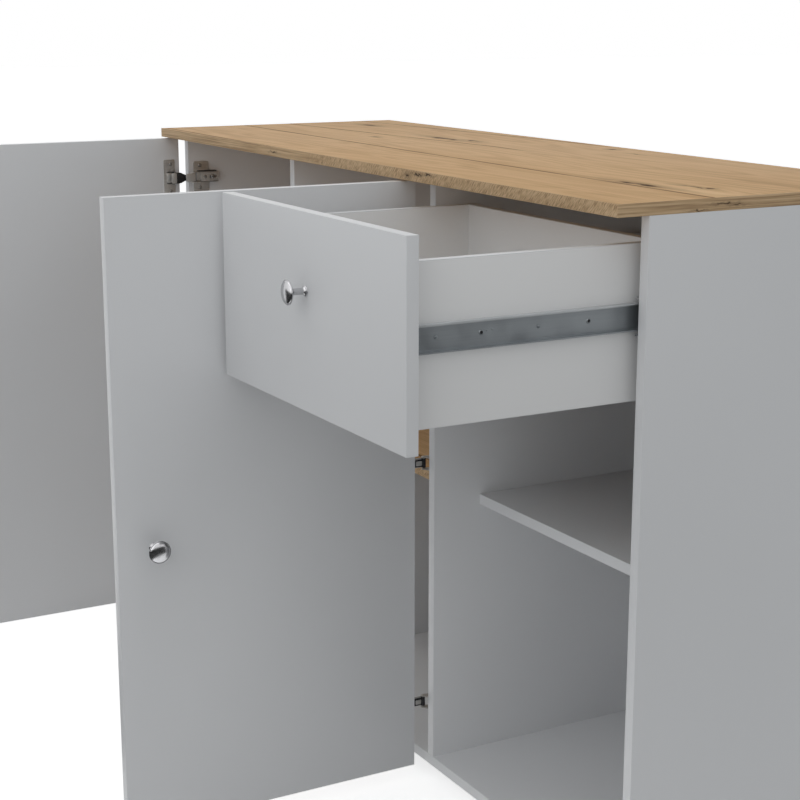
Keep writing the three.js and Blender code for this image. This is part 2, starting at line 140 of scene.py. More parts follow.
def mm(*values: float) -> Vector:
    """A point given in millimetres."""
    return Vector(values) * MM


def frame_at(origin: Vector, across: Vector, up: Vector, out: Vector) -> Matrix:
    """A matrix whose own x, y and z run along three given directions.

    Args:
        origin: Where the matrix places its own origin.
        across: Direction of its x.
        up: Direction of its y.
        out: Direction of its z.

    Returns:
        The matrix.
    """
    matrix = Matrix((across, up, out)).transposed().to_4x4()
    matrix.translation = origin
    return matrix


# ---------------------------------------------------------------------------------- node graphs


class Nodes:
    """The nodes of a material or of the surroundings while they are put together."""

    def __init__(self, tree: bpy.types.NodeTree) -> None:
        """Start with an empty tree."""
        self.tree = tree
        tree.nodes.clear()

    def feed(self, target: Socket, value: object) -> None:
        """Give a socket a link or a constant.

        Args:
            target: The input socket.
            value: An output socket, a number, or a colour.
        """
        if isinstance(value, Socket):
            self.tree.links.new(value, target)
        elif target.type == "RGBA":
            target.default_value = (*value, 1.0)
        else:
            target.default_value = value

    def node(
        self, kind: str, values: Mapping[int | str, object] | None = None, **settings: object
    ) -> bpy.types.Node:
        """Add a node.

        Args:
            kind: Its type, without the words that all types begin with.
            values: What its inputs are fed, by their names or numbers.
            settings: Its other settings.

        Returns:
            The node.
        """
        node = self.tree.nodes.new(f"ShaderNode{kind}")
        for name, setting in settings.items():
            setattr(node, name, setting)
        for key, value in (values or {}).items():
            self.feed(node.inputs[key], value)
        return node

    def vector(self, x: object, y: object, z: object) -> Socket:
        """A vector from three numbers or sockets."""
        return self.node("CombineXYZ", {0: x, 1: y, 2: z}).outputs[0]

    def math(self, operation: str, *values: object) -> Socket:
        """A calculation on up to three numbers or sockets."""
        return self.node("Math", dict(enumerate(values)), operation=operation).outputs[0]

    def seen(self) -> Socket:
        """1 for what the camera sees, also in a mirror or through glass, and 0 for what only gives light.

        Returns:
            The factor's socket.
        """
        path = self.node("LightPath").outputs
        direct = self.math("MAXIMUM", path["Is Camera Ray"], path["Is Glossy Ray"])
        return self.math("MAXIMUM", direct, path["Is Transmission Ray"])


class Graph(Nodes):
    """The nodes of one material."""

    def __init__(self, name: str) -> None:
        """Start a material with one principled surface.

        Args:
            name: Name of the material.
        """
        self.material = bpy.data.materials.new(name)
        self.material.use_nodes = True
        super().__init__(self.material.node_tree)
        self.surface = self.node("BsdfPrincipled")
        self.node("OutputMaterial", {"Surface": self.surface.outputs["BSDF"]})

    def set(self, name: str, value: object) -> None:
        """Feed an input of the surface by its name."""
        self.feed(self.surface.inputs[name], value)

    def coordinates(self) -> Socket:
        """Coordinates in metres that stay with the piece."""
        return self.node("TexCoord").outputs["Object"]

    def split(self, vector: Socket) -> Sequence[Socket]:
        """The x, y and z of a vector."""
        return self.node("SeparateXYZ", {0: vector}).outputs

    def noise(self, at: object, scale: float, detail: float = 2.0, rough: float = 0.5) -> Socket:
        """Noise from 0 to 1, by its cells per unit, its octaves and the share of each further one."""
        values = {"Vector": at, "Scale": scale, "Detail": detail, "Roughness": rough}
        return self.node("TexNoise", values).outputs[0]

    def chance(self, value: object) -> Socket:
        """A fixed random number between 0 and 1 for each whole value."""
        return self.node("TexWhiteNoise", {"W": value}, noise_dimensions="1D").outputs["Value"]

    def fade(self, value: object, start: float, end: float, low: float = 0.0, high: float = 1.0) -> Socket:
        """A smooth step from low to high while the value goes from start to end."""
        values = dict(enumerate((value, start, end, low, high)))
        return self.node("MapRange", values, interpolation_type="SMOOTHSTEP").outputs[0]

    def blend(self, share: object, a: object, b: object) -> Socket:
        """The first colour, mixed with a share of the second."""
        return self.node("Mix", {"Factor": share, 6: a, 7: b}, data_type="RGBA").outputs[2]

    def ramp(self, share: object, stops: Sequence[tuple[float, Colour]]) -> Socket:
        """A colour looked up along a row of stops.

        Args:
            share: Where along the row.
            stops: Places and colours, in order.

        Returns:
            The colour's socket.
        """
        node = self.node("ValToRGB", {0: share})
        elements = node.color_ramp.elements
        while len(elements) < len(stops):
            elements.new(0.5)
        for element, (place, colour) in zip(elements, stops):
            element.position = place
            element.color = (*colour, 1.0)
        return node.outputs[0]

    def bump(self, height: object, distance: float, strength: float) -> None:
        """Give the surface a relief of a depth in metres, and say how strongly it shows."""
        node = self.node("Bump", {"Strength": strength, "Distance": distance, "Height": height})
        self.set("Normal", node.outputs["Normal"])


# ------------------------------------------------------------------------------------- finishes


@dataclass(frozen=True)
class Finish:
    """A finish that is made into a material once and then shared."""

    name: str
    slot: Slot

    def dress(self, graph: Graph) -> None:
        """Put the finish's nodes into a new material."""
        raise NotImplementedError

    def material(self) -> bpy.types.Material:
        """The finish's material, made when it is first asked for.

        Returns:
            The material.
        """
        found = bpy.data.materials.get(self.name)
        if found is None:
            graph = Graph(self.name)
            self.dress(graph)
            found = graph.material
        return found


@dataclass(frozen=True)
class Melamine(Finish):
    """White melamine: a satin facing with a fine pearl relief and a faint unevenness of tone."""

    light: Colour = (0.80, 0.805, 0.815)
    dark: Colour = (0.765, 0.77, 0.782)
    pearl: float = 900.0
    cloud: float = 3.0
    pearl_share: float = 0.35
    relief: float = 0.00003

    def dress(self, graph: Graph) -> None:
        """Put the melamine's nodes into a new material.

        Args:
            graph: The material's nodes.
        """
        at = graph.coordinates()
        pearl = graph.noise(at, self.pearl, detail=2.0, rough=0.6)
        cloud = graph.noise(at, self.cloud, detail=4.0, rough=0.55)
        base = graph.math("MULTIPLY", cloud, 1.0 - self.pearl_share)
        tone = graph.math("MULTIPLY_ADD", pearl, self.pearl_share, base)
        graph.set("Base Color", graph.blend(tone, self.dark, self.light))
        graph.set("Roughness", graph.fade(cloud, 0.3, 0.7, low=0.44, high=0.52))
        graph.set("Specular IOR Level", 0.4)
        graph.bump(pearl, self.relief, strength=0.6)


@dataclass(frozen=True)
class WhiteBand(Finish):
    """White edge band: smoother than the faces, with fine lines drawn along it."""

    light: Colour = (0.80, 0.805, 0.815)
    dark: Colour = (0.77, 0.775, 0.788)
    lines: float = 2500.0
    cloud: float = 5.0
    relief: float = 0.00001

    def dress(self, graph: Graph) -> None:
        """Put the band's nodes into a new material.

        Args:
            graph: The material's nodes.
        """
        at = graph.coordinates()
        x, y, z = graph.split(at)
        across = graph.math("ADD", x, graph.math("ADD", y, z))
        drawn = graph.noise(graph.vector(graph.math("MULTIPLY", across, self.lines), 0.0, 0.0), 1.0, 1.0)
        cloud = graph.noise(at, self.cloud, detail=3.0)
        graph.set("Base Color", graph.blend(cloud, self.dark, self.light))
        graph.set("Roughness", graph.fade(cloud, 0.3, 0.7, low=0.34, high=0.42))
        graph.bump(drawn, self.relief, strength=0.4)


@dataclass(frozen=True)
class Knot:
    """A knot or shake in the oak pattern: where it lies along and across the grain, and its size."""

    along: float
    across: float
    length: float
    width: float


@dataclass(frozen=True)
class Grain:
    """Where a point lies in a plank, for patterns that are drawn out along the plank."""

    graph: Graph
    x: object
    across: object
    z: object = 0.0
    shift: object = 0.0

    def noise(self, along: float, over: float, detail: float, rough: float = 0.5) -> Socket:
        """Noise with its cells drawn out along the grain.

        Args:
            along: Cells per metre along the grain.
            over: Cells per metre across it.
            detail: Number of octaves.
            rough: Share of each further octave.

        Returns:
            The factor's socket.
        """
        graph = self.graph
        run = graph.math("MULTIPLY_ADD", self.x, along, self.shift)
        sides = (graph.math("MULTIPLY", place, over) for place in (self.across, self.z))
        return graph.noise(graph.vector(run, *sides), 1.0, detail, rough)

    def mask(self, knots: Iterable[Knot]) -> Socket:
        """Mask of knots: dark in each one's middle, with a soft halo round it.

        Args:
            knots: The knots.

        Returns:
            The mask's socket.
        """
        graph = self.graph
        mask: object = 0.0
        for knot in knots:
            near = graph.math("DIVIDE", graph.math("SUBTRACT", self.x, knot.along), knot.length / 2)
            over = graph.math("DIVIDE", graph.math("SUBTRACT", self.across, knot.across), knot.width)
            square = graph.math("MULTIPLY_ADD", near, near, graph.math("MULTIPLY", over, over))
            away = graph.math("SQRT", square)
            core = graph.fade(away, 0.35, 1.0, low=0.95, high=0.0)
            halo = graph.fade(away, 0.6, 2.6, low=0.32, high=0.0)
            mask = graph.math("MAXIMUM", mask, graph.math("MAXIMUM", core, halo))
        return mask


@dataclass(frozen=True)
class OakFace(Finish):
    """Rustic oak pattern: planks side by side along x, with open joints, grain, knots and shakes."""

    plank: float = 0.152
    first_joint: float = 0.128
    slant: float = 0.02
    swing_from: float = -0.03
    swing: float = 0.098
    sway_cells: Place = (1.6, 5.0, 3.7)
    sway: float = 0.012
    joint_sway: float = 0.006
    wander: float = 0.022
    light: Colour = (0.80, 0.53, 0.285)
    middle: Colour = (0.69, 0.44, 0.222)
    deep: Colour = (0.47, 0.275, 0.13)
    joint: Colour = (0.23, 0.125, 0.055)
    shake: Colour = (0.045, 0.025, 0.014)
    sap: Colour = (0.90, 0.63, 0.36)
    sap_share: float = 0.7
    relief: float = 0.00012
    knots: tuple[Knot, ...] = (
        Knot(0.535, 0.132, 0.120, 0.0080),
        Knot(0.592, 0.169, 0.060, 0.0042),
        Knot(0.615, 0.1765, 0.016, 0.0042),
        Knot(-0.215, 0.298, 0.120, 0.0085),
        Knot(-0.150, 0.312, 0.050, 0.0070),
        Knot(-0.560, 0.340, 0.060, 0.0100),
        Knot(0.099, 0.409, 0.022, 0.0075),
        Knot(0.183, 0.388, 0.030, 0.0022),
        Knot(-0.300, 0.215, 0.022, 0.0050),
        Knot(0.655, 0.335, 0.030, 0.0050),
    )
    sapwood: tuple[Knot, ...] = (Knot(0.648, 0.146, 0.120, 0.0170),)

    def dress(self, graph: Graph) -> None:
        """Put the oak pattern's nodes into a new material.

        Args:
            graph: The material's nodes.
        """
        x, y, z = graph.split(graph.coordinates())
        cells = zip((x, y, z), self.sway_cells)
        slow = graph.vector(*(graph.math("MULTIPLY", *pair) for pair in cells))
        sway = graph.math("SUBTRACT", graph.noise(slow, 1.0), 0.5)
        past = graph.math("MAXIMUM", graph.math("SUBTRACT", self.swing_from, x), 0.0)
        swing = graph.math("MULTIPLY", past, graph.fade(y, 0.15, 0.22, low=0.0, high=self.swing))
        edge = graph.math("ADD", swing, graph.math("MULTIPLY_ADD", x, self.slant, y))
        edge = graph.math("MULTIPLY_ADD", sway, self.joint_sway, edge)
        place = graph.math("DIVIDE", graph.math("SUBTRACT", edge, self.first_joint), self.plank)
        plank = graph.math("FLOOR", place)
        joints = self.joints(graph, x, graph.math("SUBTRACT", place, plank), place)
        shift = graph.math("MULTIPLY", graph.chance(plank), 31.0)
        grain = Grain(graph, x, graph.math("MULTIPLY_ADD", sway, self.sway, y), z, shift)
        tone = graph.fade(graph.chance(graph.math("ADD", plank, 7.0)), 0.0, 1.0, low=0.0, high=0.2)
        shakes = self.shakes(graph, x, y)
        pale = graph.math("MULTIPLY", Grain(graph, x, y).mask(self.sapwood), self.sap_share)
        wood = graph.blend(pale, graph.blend(tone, self.wood(grain), self.deep), self.sap)
        wood = graph.blend(joints, wood, self.joint)
        graph.set("Base Color", graph.blend(shakes, wood, self.shake))
        marks = graph.math("MAXIMUM", joints, shakes)
        graph.set("Roughness", graph.fade(marks, 0.0, 1.0, low=0.6, high=0.8))
        graph.set("Specular IOR Level", 0.12)
        streak = grain.noise(12.0, 700.0, detail=3.0, rough=0.6)
        height = graph.math("SUBTRACT", streak, graph.math("MULTIPLY", marks, 2.0))
        graph.bump(height, self.relief, strength=0.5)

    def wood(self, grain: Grain) -> Socket:
        """Colour of the sound wood: growth rings, streaks and pores.

        Args:
            grain: Where the point lies.

        Returns:
            The colour's socket.
        """
        graph = grain.graph
        figure = graph.math("MULTIPLY", grain.noise(1.5, 9.0, detail=2.0, rough=0.45), 80.0)
        rings = graph.math("MULTIPLY_ADD", graph.math("SINE", figure), 0.5, 0.5)
        streaks = graph.math("MULTIPLY", grain.noise(3.0, 230.0, detail=5.0, rough=0.62), 0.60)
        broad = graph.math("MULTIPLY", grain.noise(2.0, 16.0, detail=3.0), 0.28)
        mixed = graph.math("ADD", streaks, graph.math("MULTIPLY_ADD", rings, 0.12, broad))
        wood = graph.ramp(mixed, [(0.26, self.deep), (0.46, self.middle), (0.62, self.light)])
        open_pores = graph.fade(grain.noise(30.0, 800.0, detail=2.0), 0.58, 0.70, low=0.0, high=0.30)
        return graph.blend(open_pores, wood, self.deep)

    def joints(self, graph: Graph, x: object, share: object, place: object) -> Socket:
        """Mask of the open joints between the planks.

        Args:
            graph: The material's nodes.
            x: Place along the grain.
            share: Place across a plank, from 0 to 1.
            place: Place across all the planks, in planks.

        Returns:
            The mask's socket.
        """
        from_edge = graph.math("MINIMUM", share, graph.math("SUBTRACT", 1.0, share))
        line = graph.fade(from_edge, 0.008, 0.028, low=1.0, high=0.0)
        gaps = graph.noise(graph.vector(x, 0.0, 0.0), 5.5, detail=3.0)
        broken = graph.fade(gaps, 0.36, 0.52, low=0.45, high=0.9)
        tight = graph.math("MULTIPLY", graph.fade(place, 0.4, 0.6), graph.fade(x, -0.02, 0.12))
        kept = graph.fade(tight, 0.0, 1.0, low=1.0, high=0.12)
        return graph.math("MULTIPLY", graph.math("MULTIPLY", line, broken), kept)

    def shakes(self, graph: Graph, x: object, y: object) -> Socket:
        """Mask of the knots and shakes, each a ragged streak along the grain.

        Args:
            graph: The material's nodes.
            x: Place along the grain.
            y: Place across the grain.

        Returns:
            The mask's socket.
        """
        ragged = Grain(graph, x, y).noise(38.0, 60.0, detail=4.0)
        wandering = graph.math("MULTIPLY_ADD", graph.math("SUBTRACT", ragged, 0.5), self.wander, y)
        broken = graph.fade(ragged, 0.30, 0.52, low=0.45, high=1.0)
        return graph.math("MULTIPLY", Grain(graph, x, wandering).mask(self.knots), broken)


@dataclass(frozen=True)
class OakBand(Finish):
    """Oak edge band: grain along it up to a place, and marks of the saw across it from there on."""

    sawn_from: float = -0.11
    light: Colour = (0.68, 0.49, 0.30)
    middle: Colour = (0.56, 0.385, 0.22)
    deep: Colour = (0.36, 0.23, 0.125)
    shake: Colour = (0.05, 0.028, 0.016)
    lean: float = -0.9
    wander: float = 0.008
    relief: float = 0.00008
    knots: tuple[Knot, ...] = ()

    def dress(self, graph: Graph) -> None:
        """Put the band's nodes into a new material.

        Args:
            graph: The material's nodes.
        """
        x, y, z = graph.split(graph.coordinates())
        run = graph.math("ADD", x, y)
        grain = Grain(graph, run, z)
        wavy = grain.noise(9.0, 120.0, detail=2.0)
        lean = graph.math("MULTIPLY_ADD", z, self.lean, graph.math("MULTIPLY", wavy, 0.004))
        ticks = Grain(graph, graph.math("ADD", run, lean), z).noise(560.0, 130.0, detail=2.0)
        long_grain = grain.noise(7.0, 420.0, detail=3.0, rough=0.55)
        sawn = graph.fade(graph.math("MULTIPLY_ADD", wavy, 0.05, run), self.sawn_from, self.sawn_from + 0.12)
        lengthwise = graph.math("MULTIPLY", long_grain, graph.math("SUBTRACT", 1.0, sawn))
        figure = graph.math("ADD", graph.math("MULTIPLY", ticks, sawn), lengthwise)
        patches = graph.math("MULTIPLY", grain.noise(12.0, 50.0, detail=4.0), 0.18)
        mixed = graph.math("MULTIPLY_ADD", figure, 0.82, patches)
        wood = graph.ramp(mixed, [(0.375, self.deep), (0.50, self.middle), (0.625, self.light)])
        ragged = graph.math("SUBTRACT", grain.noise(130.0, 190.0, detail=3.0), 0.5)
        marks = Grain(graph, run, graph.math("MULTIPLY_ADD", ragged, self.wander, z)).mask(self.knots)
        graph.set("Base Color", graph.blend(marks, wood, self.shake))
        graph.set("Roughness", graph.fade(figure, 0.3, 0.7, low=0.56, high=0.68))
        graph.set("Specular IOR Level", 0.2)
        graph.bump(figure, self.relief, strength=0.5)


@dataclass(frozen=True)
class RolledSteel(Finish):
    """Steel sheet: lines from the rolls along y, a cloudy plating, small handling marks, and a painted
    highlight, a lighter colour above a given height.
    """

    light: Colour = (0.325, 0.35, 0.368)
    dark: Colour = (0.29, 0.311, 0.329)
    rough: float = 0.38
    metal: float = 0.62
    lines: float = 900.0
    drawn_out: float = 60.0
    cloud: float = 28.0
    # Painted highlight: above this height, in metres, the colour turns lighter to stand in for light on the
    # slide's top flange; at 9 m it never shows.
    painted_highlight: Colour = (0.58, 0.60, 0.615)
    highlight_above: float = 9.0
    relief: float = 0.00002

    def dress(self, graph: Graph) -> None:
        """Put the steel's nodes into a new material.

        Args:
            graph: The material's nodes.
        """
        at = graph.coordinates()
        x, y, z = graph.split(at)
        cells = ((x, self.lines), (y, self.lines / self.drawn_out), (z, self.lines))
        rolled = graph.noise(graph.vector(*(graph.math("MULTIPLY", *pair) for pair in cells)), 1.0, 3.0, 0.6)
        cloud = graph.noise(at, self.cloud, detail=4.0, rough=0.6)
        tone = graph.math("MULTIPLY_ADD", rolled, 0.4, graph.math("MULTIPLY", cloud, 0.6))
        sheet = graph.blend(graph.fade(tone, 0.3, 0.7), self.dark, self.light)
        # Painted highlight: a lighter colour above the given height.
        highlight_share = graph.fade(z, self.highlight_above, self.highlight_above + 1.2 * MM)
        graph.set("Base Color", graph.blend(highlight_share, sheet, self.painted_highlight))
        graph.set("Metallic", self.metal)
        graph.set("Roughness", graph.fade(cloud, 0.3, 0.7, self.rough - 0.06, self.rough + 0.08))
        graph.bump(rolled, self.relief, strength=0.5)


@dataclass(frozen=True)
class Chrome(Finish):
    """Polished chrome with faint polishing lines and finger marks."""

    colour: Colour = (0.58, 0.58, 0.595)
    dull: Colour = (0.52, 0.525, 0.54)
    smears: float = 160.0
    lines: float = 1500.0
    relief: float = 0.000003

    def dress(self, graph: Graph) -> None:
        """Put the chrome's nodes into a new material.

        Args:
            graph: The material's nodes.
        """
        at = graph.coordinates()
        marks = graph.noise(at, self.smears, detail=4.0, rough=0.6)
        graph.set("Base Color", graph.blend(graph.fade(marks, 0.45, 0.75), self.colour, self.dull))
        graph.set("Metallic", 1.0)
        graph.set("Roughness", graph.fade(marks, 0.4, 0.8, low=0.20, high=0.28))
        graph.bump(graph.noise(at, self.lines), self.relief, strength=0.3)


@dataclass(frozen=True)
class Moulding(Finish):
    """Moulded plastic with a fine spark-eroded grain."""

    colour: Colour = (0.03, 0.03, 0.031)
    pale: Colour = (0.045, 0.045, 0.047)
    rough: float = 0.5
    grain: float = 1400.0
    flow: float = 22.0
    relief: float = 0.00004

    def dress(self, graph: Graph) -> None:
        """Put the plastic's nodes into a new material.

        Args:
            graph: The material's nodes.
        """
        at = graph.coordinates()
        grain = graph.noise(at, self.grain, detail=2.0, rough=0.6)
        flow = graph.noise(at, self.flow, detail=3.0)
        graph.set("Base Color", graph.blend(flow, self.colour, self.pale))
        graph.set("Roughness", graph.fade(flow, 0.3, 0.7, self.rough - 0.05, self.rough + 0.08))
        graph.bump(grain, self.relief, strength=0.5)


WHITE = Melamine("white_melamine", Slot.WHITE)
# The drawer box's white is lighter than the carcass's: partly the board's own warm tone, partly painted light
# that stands in for light inside the drawer.
DRAWER_WHITE = Melamine("warm_white_melamine", Slot.WHITE, (0.892, 0.888, 0.883), (0.872, 0.868, 0.862))
WHITE_BAND = WhiteBand("white_edge_band", Slot.WHITE)
OAK = OakFace("rustic_oak_pattern", Slot.OAK)
OAK_FRONT_BAND = OakBand("oak_front_edge_band", Slot.OAK, knots=(
    Knot(0.2070, 0.8920, 0.014, 0.0030),
    Knot(0.236, 0.8950, 0.034, 0.0013),
    Knot(-0.218, 0.8918, 0.032, 0.0011),
    Knot(0.262, 0.8965, 0.026, 0.0014),
))
OAK_SIDE_BAND = OakBand("oak_end_edge_band", Slot.OAK, sawn_from=2.0, knots=(
    Knot(0.7915, 0.8870, 0.024, 0.0008),
    Knot(0.826, 0.8927, 0.032, 0.0011),
    Knot(0.846, 0.8905, 0.020, 0.0008),
))
# The slide steel carries a painted highlight above 0.7792 m, which stands in for light along the top flange.
SLIDE_STEEL = RolledSteel("rolled_slide_steel", Slot.SLIDE, highlight_above=0.7792)
BALL_STEEL = RolledSteel("ball_steel", Slot.SLIDE, (0.62, 0.63, 0.64), (0.5, 0.51, 0.52), 0.16, 1.0)
HINGE_STEEL = RolledSteel(
    "pressed_nickel_steel", Slot.HINGE, (0.66, 0.64, 0.61), (0.50, 0.48, 0.45), 0.4, 0.55, lines=500.0
)
NOSE_STEEL = RolledSteel(
    "plated_nose_steel", Slot.HINGE, (0.64, 0.63, 0.605), (0.57, 0.56, 0.54), 0.42, 0.45, lines=500.0
)
SCREW_STEEL = RolledSteel(
    "screw_steel", Slot.HINGE, (0.42, 0.41, 0.39), (0.30, 0.29, 0.275), 0.42, 0.7, lines=700.0
)
# Near-black steel. On the hinge link and on the strip above the arm, its darkness is painted shade for the
# hinge's shaded gaps; the slide's blind rivets also use it.
LINK_STEEL = RolledSteel(
    "dark_steel_and_painted_shade", Slot.LINK, (0.055, 0.055, 0.058), (0.03, 0.03, 0.032), 0.4, 0.7, lines=500.0
)
CHROME = Chrome("polished_chrome", Slot.CHROME)
FOOT_PLASTIC = Moulding("black_foot_plastic", Slot.FOOT)
WHITE_CAP = Moulding("white_cap_plastic", Slot.WHITE, (0.60, 0.605, 0.615), (0.63, 0.635, 0.645), 0.42, 900.0)
OAK_CAP = Moulding("oak_cap_plastic", Slot.OAK, (0.40, 0.26, 0.14), (0.45, 0.30, 0.165), 0.5, 900.0)


# --------------------------------------------------------------------------------- mesh making


def rounded_rectangle(low: Point, high: Point, radius: float, steps: int = 5) -> Outline:
    """Outline of a rectangle with round corners, anticlockwise.

    Args:
        low: Lowest corner.
        high: Highest corner.
        radius: Radius of the corners.
        steps: Straight stretches in each corner.

    Returns:
        The outline's points.
    """
    corners = (
        (high[0] - radius, low[1] + radius, -90),
        (high[0] - radius, high[1] - radius, 0),
        (low[0] + radius, high[1] - radius, 90),
        (low[0] + radius, low[1] + radius, 180),
    )
    points: Outline = []
    for x, y, start in corners:
        for step in range(steps + 1):
            angle = math.radians(start + 90 * step / steps)
            points.append((x + radius * math.cos(angle), y + radius * math.sin(angle)))
    return points


def rounded_path(points: Sequence[Point], radius: float, steps: int = 4) -> Outline:
    """A closed outline with each of its corners rounded.

    Args:
        points: The corners, in order.
        radius: Radius that is taken off each corner, less where the sides are short.
        steps: Straight stretches in each corner.

    Returns:
        The outline's points.
    """
    made: Outline = []
    for number, here in enumerate(points):
        corner = Vector(here)
        before = Vector(points[number - 1]) - corner
        after = Vector(points[(number + 1) % len(points)]) - corner
        reach = min(radius, before.length * 0.45, after.length * 0.45)
        start = corner + before.normalized() * reach
        end = corner + after.normalized() * reach
        for t in (step / steps for step in range(steps + 1)):
            made.append(tuple(start * (1 - t) ** 2 + corner * 2 * t * (1 - t) + end * t**2))
    return made


def mirrored(half: Outline, axis: int) -> Outline:
    """An outline of its first half and that half mirrored, in coordinate 0 or 1, backwards."""
    return [*half, *((-a, b) if axis == 0 else (a, -b) for a, b in reversed(half))]


def face_of(node: str, side: Side) -> Vector:
    """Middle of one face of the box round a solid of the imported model.

    Args:
        node: Name of the solid.
        side: The face's side.

    Returns:
        The point.
    """
    low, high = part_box(node)
    spot = (low + high) / 2
    spot[side.axis] = side.of(low, high)
    return spot


class Mold:
    """The surfaces of one piece while it is being made."""

    def __init__(self) -> None:
        """Start with nothing."""
        self.mesh = bmesh.new()

    def ease_edges(self, edges: Iterable[bmesh.types.BMEdge], radius: float, steps: int) -> None:
        """Round some edges, unless the radius is 0.

        Args:
            edges: The edges.
            radius: Their radius.
            steps: Facets of a rounded edge.
        """
        if radius > 0:
            bmesh.ops.bevel(
                self.mesh, geom=list(edges), offset=radius, segments=steps, profile=0.5, affect="EDGES"
            )

    def box(
        self, low: Vector, high: Vector, ease: float = 0.0, outer: Side | None = None, steps: int = 2
    ) -> Mold:
        """Add a box with eased edges.

        Args:
            low: Lowest corner.
            high: Highest corner.
            ease: Radius of the edges.
            outer: Only the edges round this side are eased, if it is given.
            steps: Facets of an eased edge.

        Returns:
            The mold.
        """
        verts = bmesh.ops.create_cube(self.mesh, size=1.0)["verts"]
        for vert in verts:
            vert.co = Vector((low[i] if vert.co[i] < 0 else high[i]) for i in range(3))
        edges = {edge for vert in verts for edge in vert.link_edges}
        if outer is not None:
            face = outer.of(low, high)
            edges = {e for e in edges if all(abs(v.co[outer.axis] - face) < 1e-7 for v in e.verts)}
        self.ease_edges(edges, ease, steps)
        return self

    def block(self, low: Vector, high: Vector, frame: Matrix, ease: float, steps: int = 2) -> Mold:
        """Add a box with eased edges that lies square in a frame."""
        return self.take(Mold().box(low, high, ease, None, steps).solid("block"), frame)

    def prism(
        self, outline: Sequence[Point], frame: Matrix, low: float, high: float, ease: float = 0.0
    ) -> Mold:
        """Add a solid between two copies of an outline.

        Args:
            outline: Points of the outline, in the frame's x and y.
            frame: The frame.
            low: Where the solid starts along the frame's z.
            high: Where it ends.
            ease: Radius of the edges round both ends.

        Returns:
            The mold.
        """
        rings = [[self.mesh.verts.new(frame @ Vector((a, b, z))) for a, b in outline] for z in (low, high)]
        caps = [self.mesh.faces.new(list(reversed(rings[0]))), self.mesh.faces.new(rings[1])]
        for i in range(len(outline)):
            j = (i + 1) % len(outline)
            self.mesh.faces.new((rings[0][i], rings[0][j], rings[1][j], rings[1][i]))
        self.ease_edges({edge for cap in caps for edge in cap.edges}, ease, 2)
        return self

    def turned(self, profile: Sequence[Point], frame: Matrix, segments: int = 48) -> Mold:
        """Add a turned solid.

        Args:
            profile: Pairs of a place along the axis and a radius. It starts and ends on the axis,
                or is a closed loop away from it.
            frame: Its z is the axis.
            segments: Facets round the axis.

        Returns:
            The mold.
        """
        rings = []
        for along, radius in profile:
            spokes = []
            for angle in (2 * math.pi * k / segments for k in range(segments if radius > 1e-9 else 1)):
                spokes.append(Vector((radius * math.cos(angle), radius * math.sin(angle), along)))
            rings.append([self.mesh.verts.new(frame @ spoke) for spoke in spokes])
        pairs = list(zip(rings, rings[1:]))
        if len(rings[0]) > 1:
            pairs.append((rings[-1], rings[0]))
        for first, second in pairs:
            for k in range(segments):
                turns = ((first, k), (first, (k + 1) % segments), (second, (k + 1) % segments), (second, k))
                corners = list(dict.fromkeys(ring[turn % len(ring)] for ring, turn in turns))
                if len(corners) > 2:
                    self.mesh.faces.new(corners)
        return self

    def rod(self, low: float, high: float, radius: float, frame: Matrix, segments: int) -> Mold:
        """Add a plain round rod along a frame's z."""
        return self.turned([(low, 0.0), (low, radius), (high, radius), (high, 0.0)], frame, segments)

    def ball(self, at: Vector, radius: float) -> Mold:
        """Add a ball."""
        bmesh.ops.create_icosphere(self.mesh, subdivisions=2, radius=radius, matrix=Matrix.Translation(at))
        return self

    def take(self, other: Mesh, frame: Matrix) -> Mold:
        """Add a finished mesh at its place, which uses it up.

        Args:
            other: The mesh.
            frame: Where it goes.

        Returns:
            The mold.
        """
        other.transform(frame)
        self.mesh.from_mesh(other)
        bpy.data.meshes.remove(other)
        return self

    def solid(self, name: str) -> Mesh:
        """The mold's surfaces as a mesh with its faces pointing out, which ends the mold.

        Args:
            name: Name of the mesh.

        Returns:
            The mesh.
        """
        bmesh.ops.recalc_face_normals(self.mesh, faces=self.mesh.faces)
        data = bpy.data.meshes.new(name)
        self.mesh.to_mesh(data)
        self.mesh.free()
        return data


def cut_away(data: Mesh, mold: Mold) -> Mesh:
    """A mesh less the space of a mold, both of which are used up.

    Args:
        data: The solid that is cut.
        mold: The solid that is taken away.

    Returns:
        A new mesh.
    """
    body = bpy.data.objects.new("cut_body", data)
    knife = bpy.data.objects.new("cut_tool", mold.solid("cut_tool"))
    tool = knife.data
    for item in (body, knife):
        bpy.context.scene.collection.objects.link(item)
    modifier = body.modifiers.new("cut", "BOOLEAN")
    modifier.operation = "DIFFERENCE"
    modifier.solver = "EXACT"
    modifier.object = knife
    result = bpy.data.meshes.new_from_object(body.evaluated_get(bpy.context.evaluated_depsgraph_get()))
    for item in (body, knife):
        bpy.data.objects.remove(item)
    for used in (data, tool):
        bpy.data.meshes.remove(used)
    return result


def show(
    name: str, data: Mesh, finish: Finish, body: str, stands_for: str | None = None, crease: float = 32.0
) -> None:
    """Make a piece of a mesh: its finish, its smoothing and the body that carries it.

    Args:
        name: Name of the piece.
        data: Its mesh, in place.
        finish: Its finish.
        body: The body that it moves with.
        stands_for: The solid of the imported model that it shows, if it shows one.
        crease: Angle in degrees over which an edge stays sharp.
    """
    data.name = name
    data.materials.clear()
    data.materials.append(finish.material())
    for polygon in data.polygons:
        polygon.material_index = 0
    data.shade_smooth()
    data.set_sharp_from_angle(angle=math.radians(crease))
    piece = bpy.data.objects.new(name, data)
    bpy.context.scene.collection.objects.link(piece)
    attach(piece, body)
    if stands_for:
        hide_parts(stands_for)
    log.info("made %s: %d faces, on %s", name, len(data.polygons), body)


# ---------------------------------------------------------------------------------- small parts


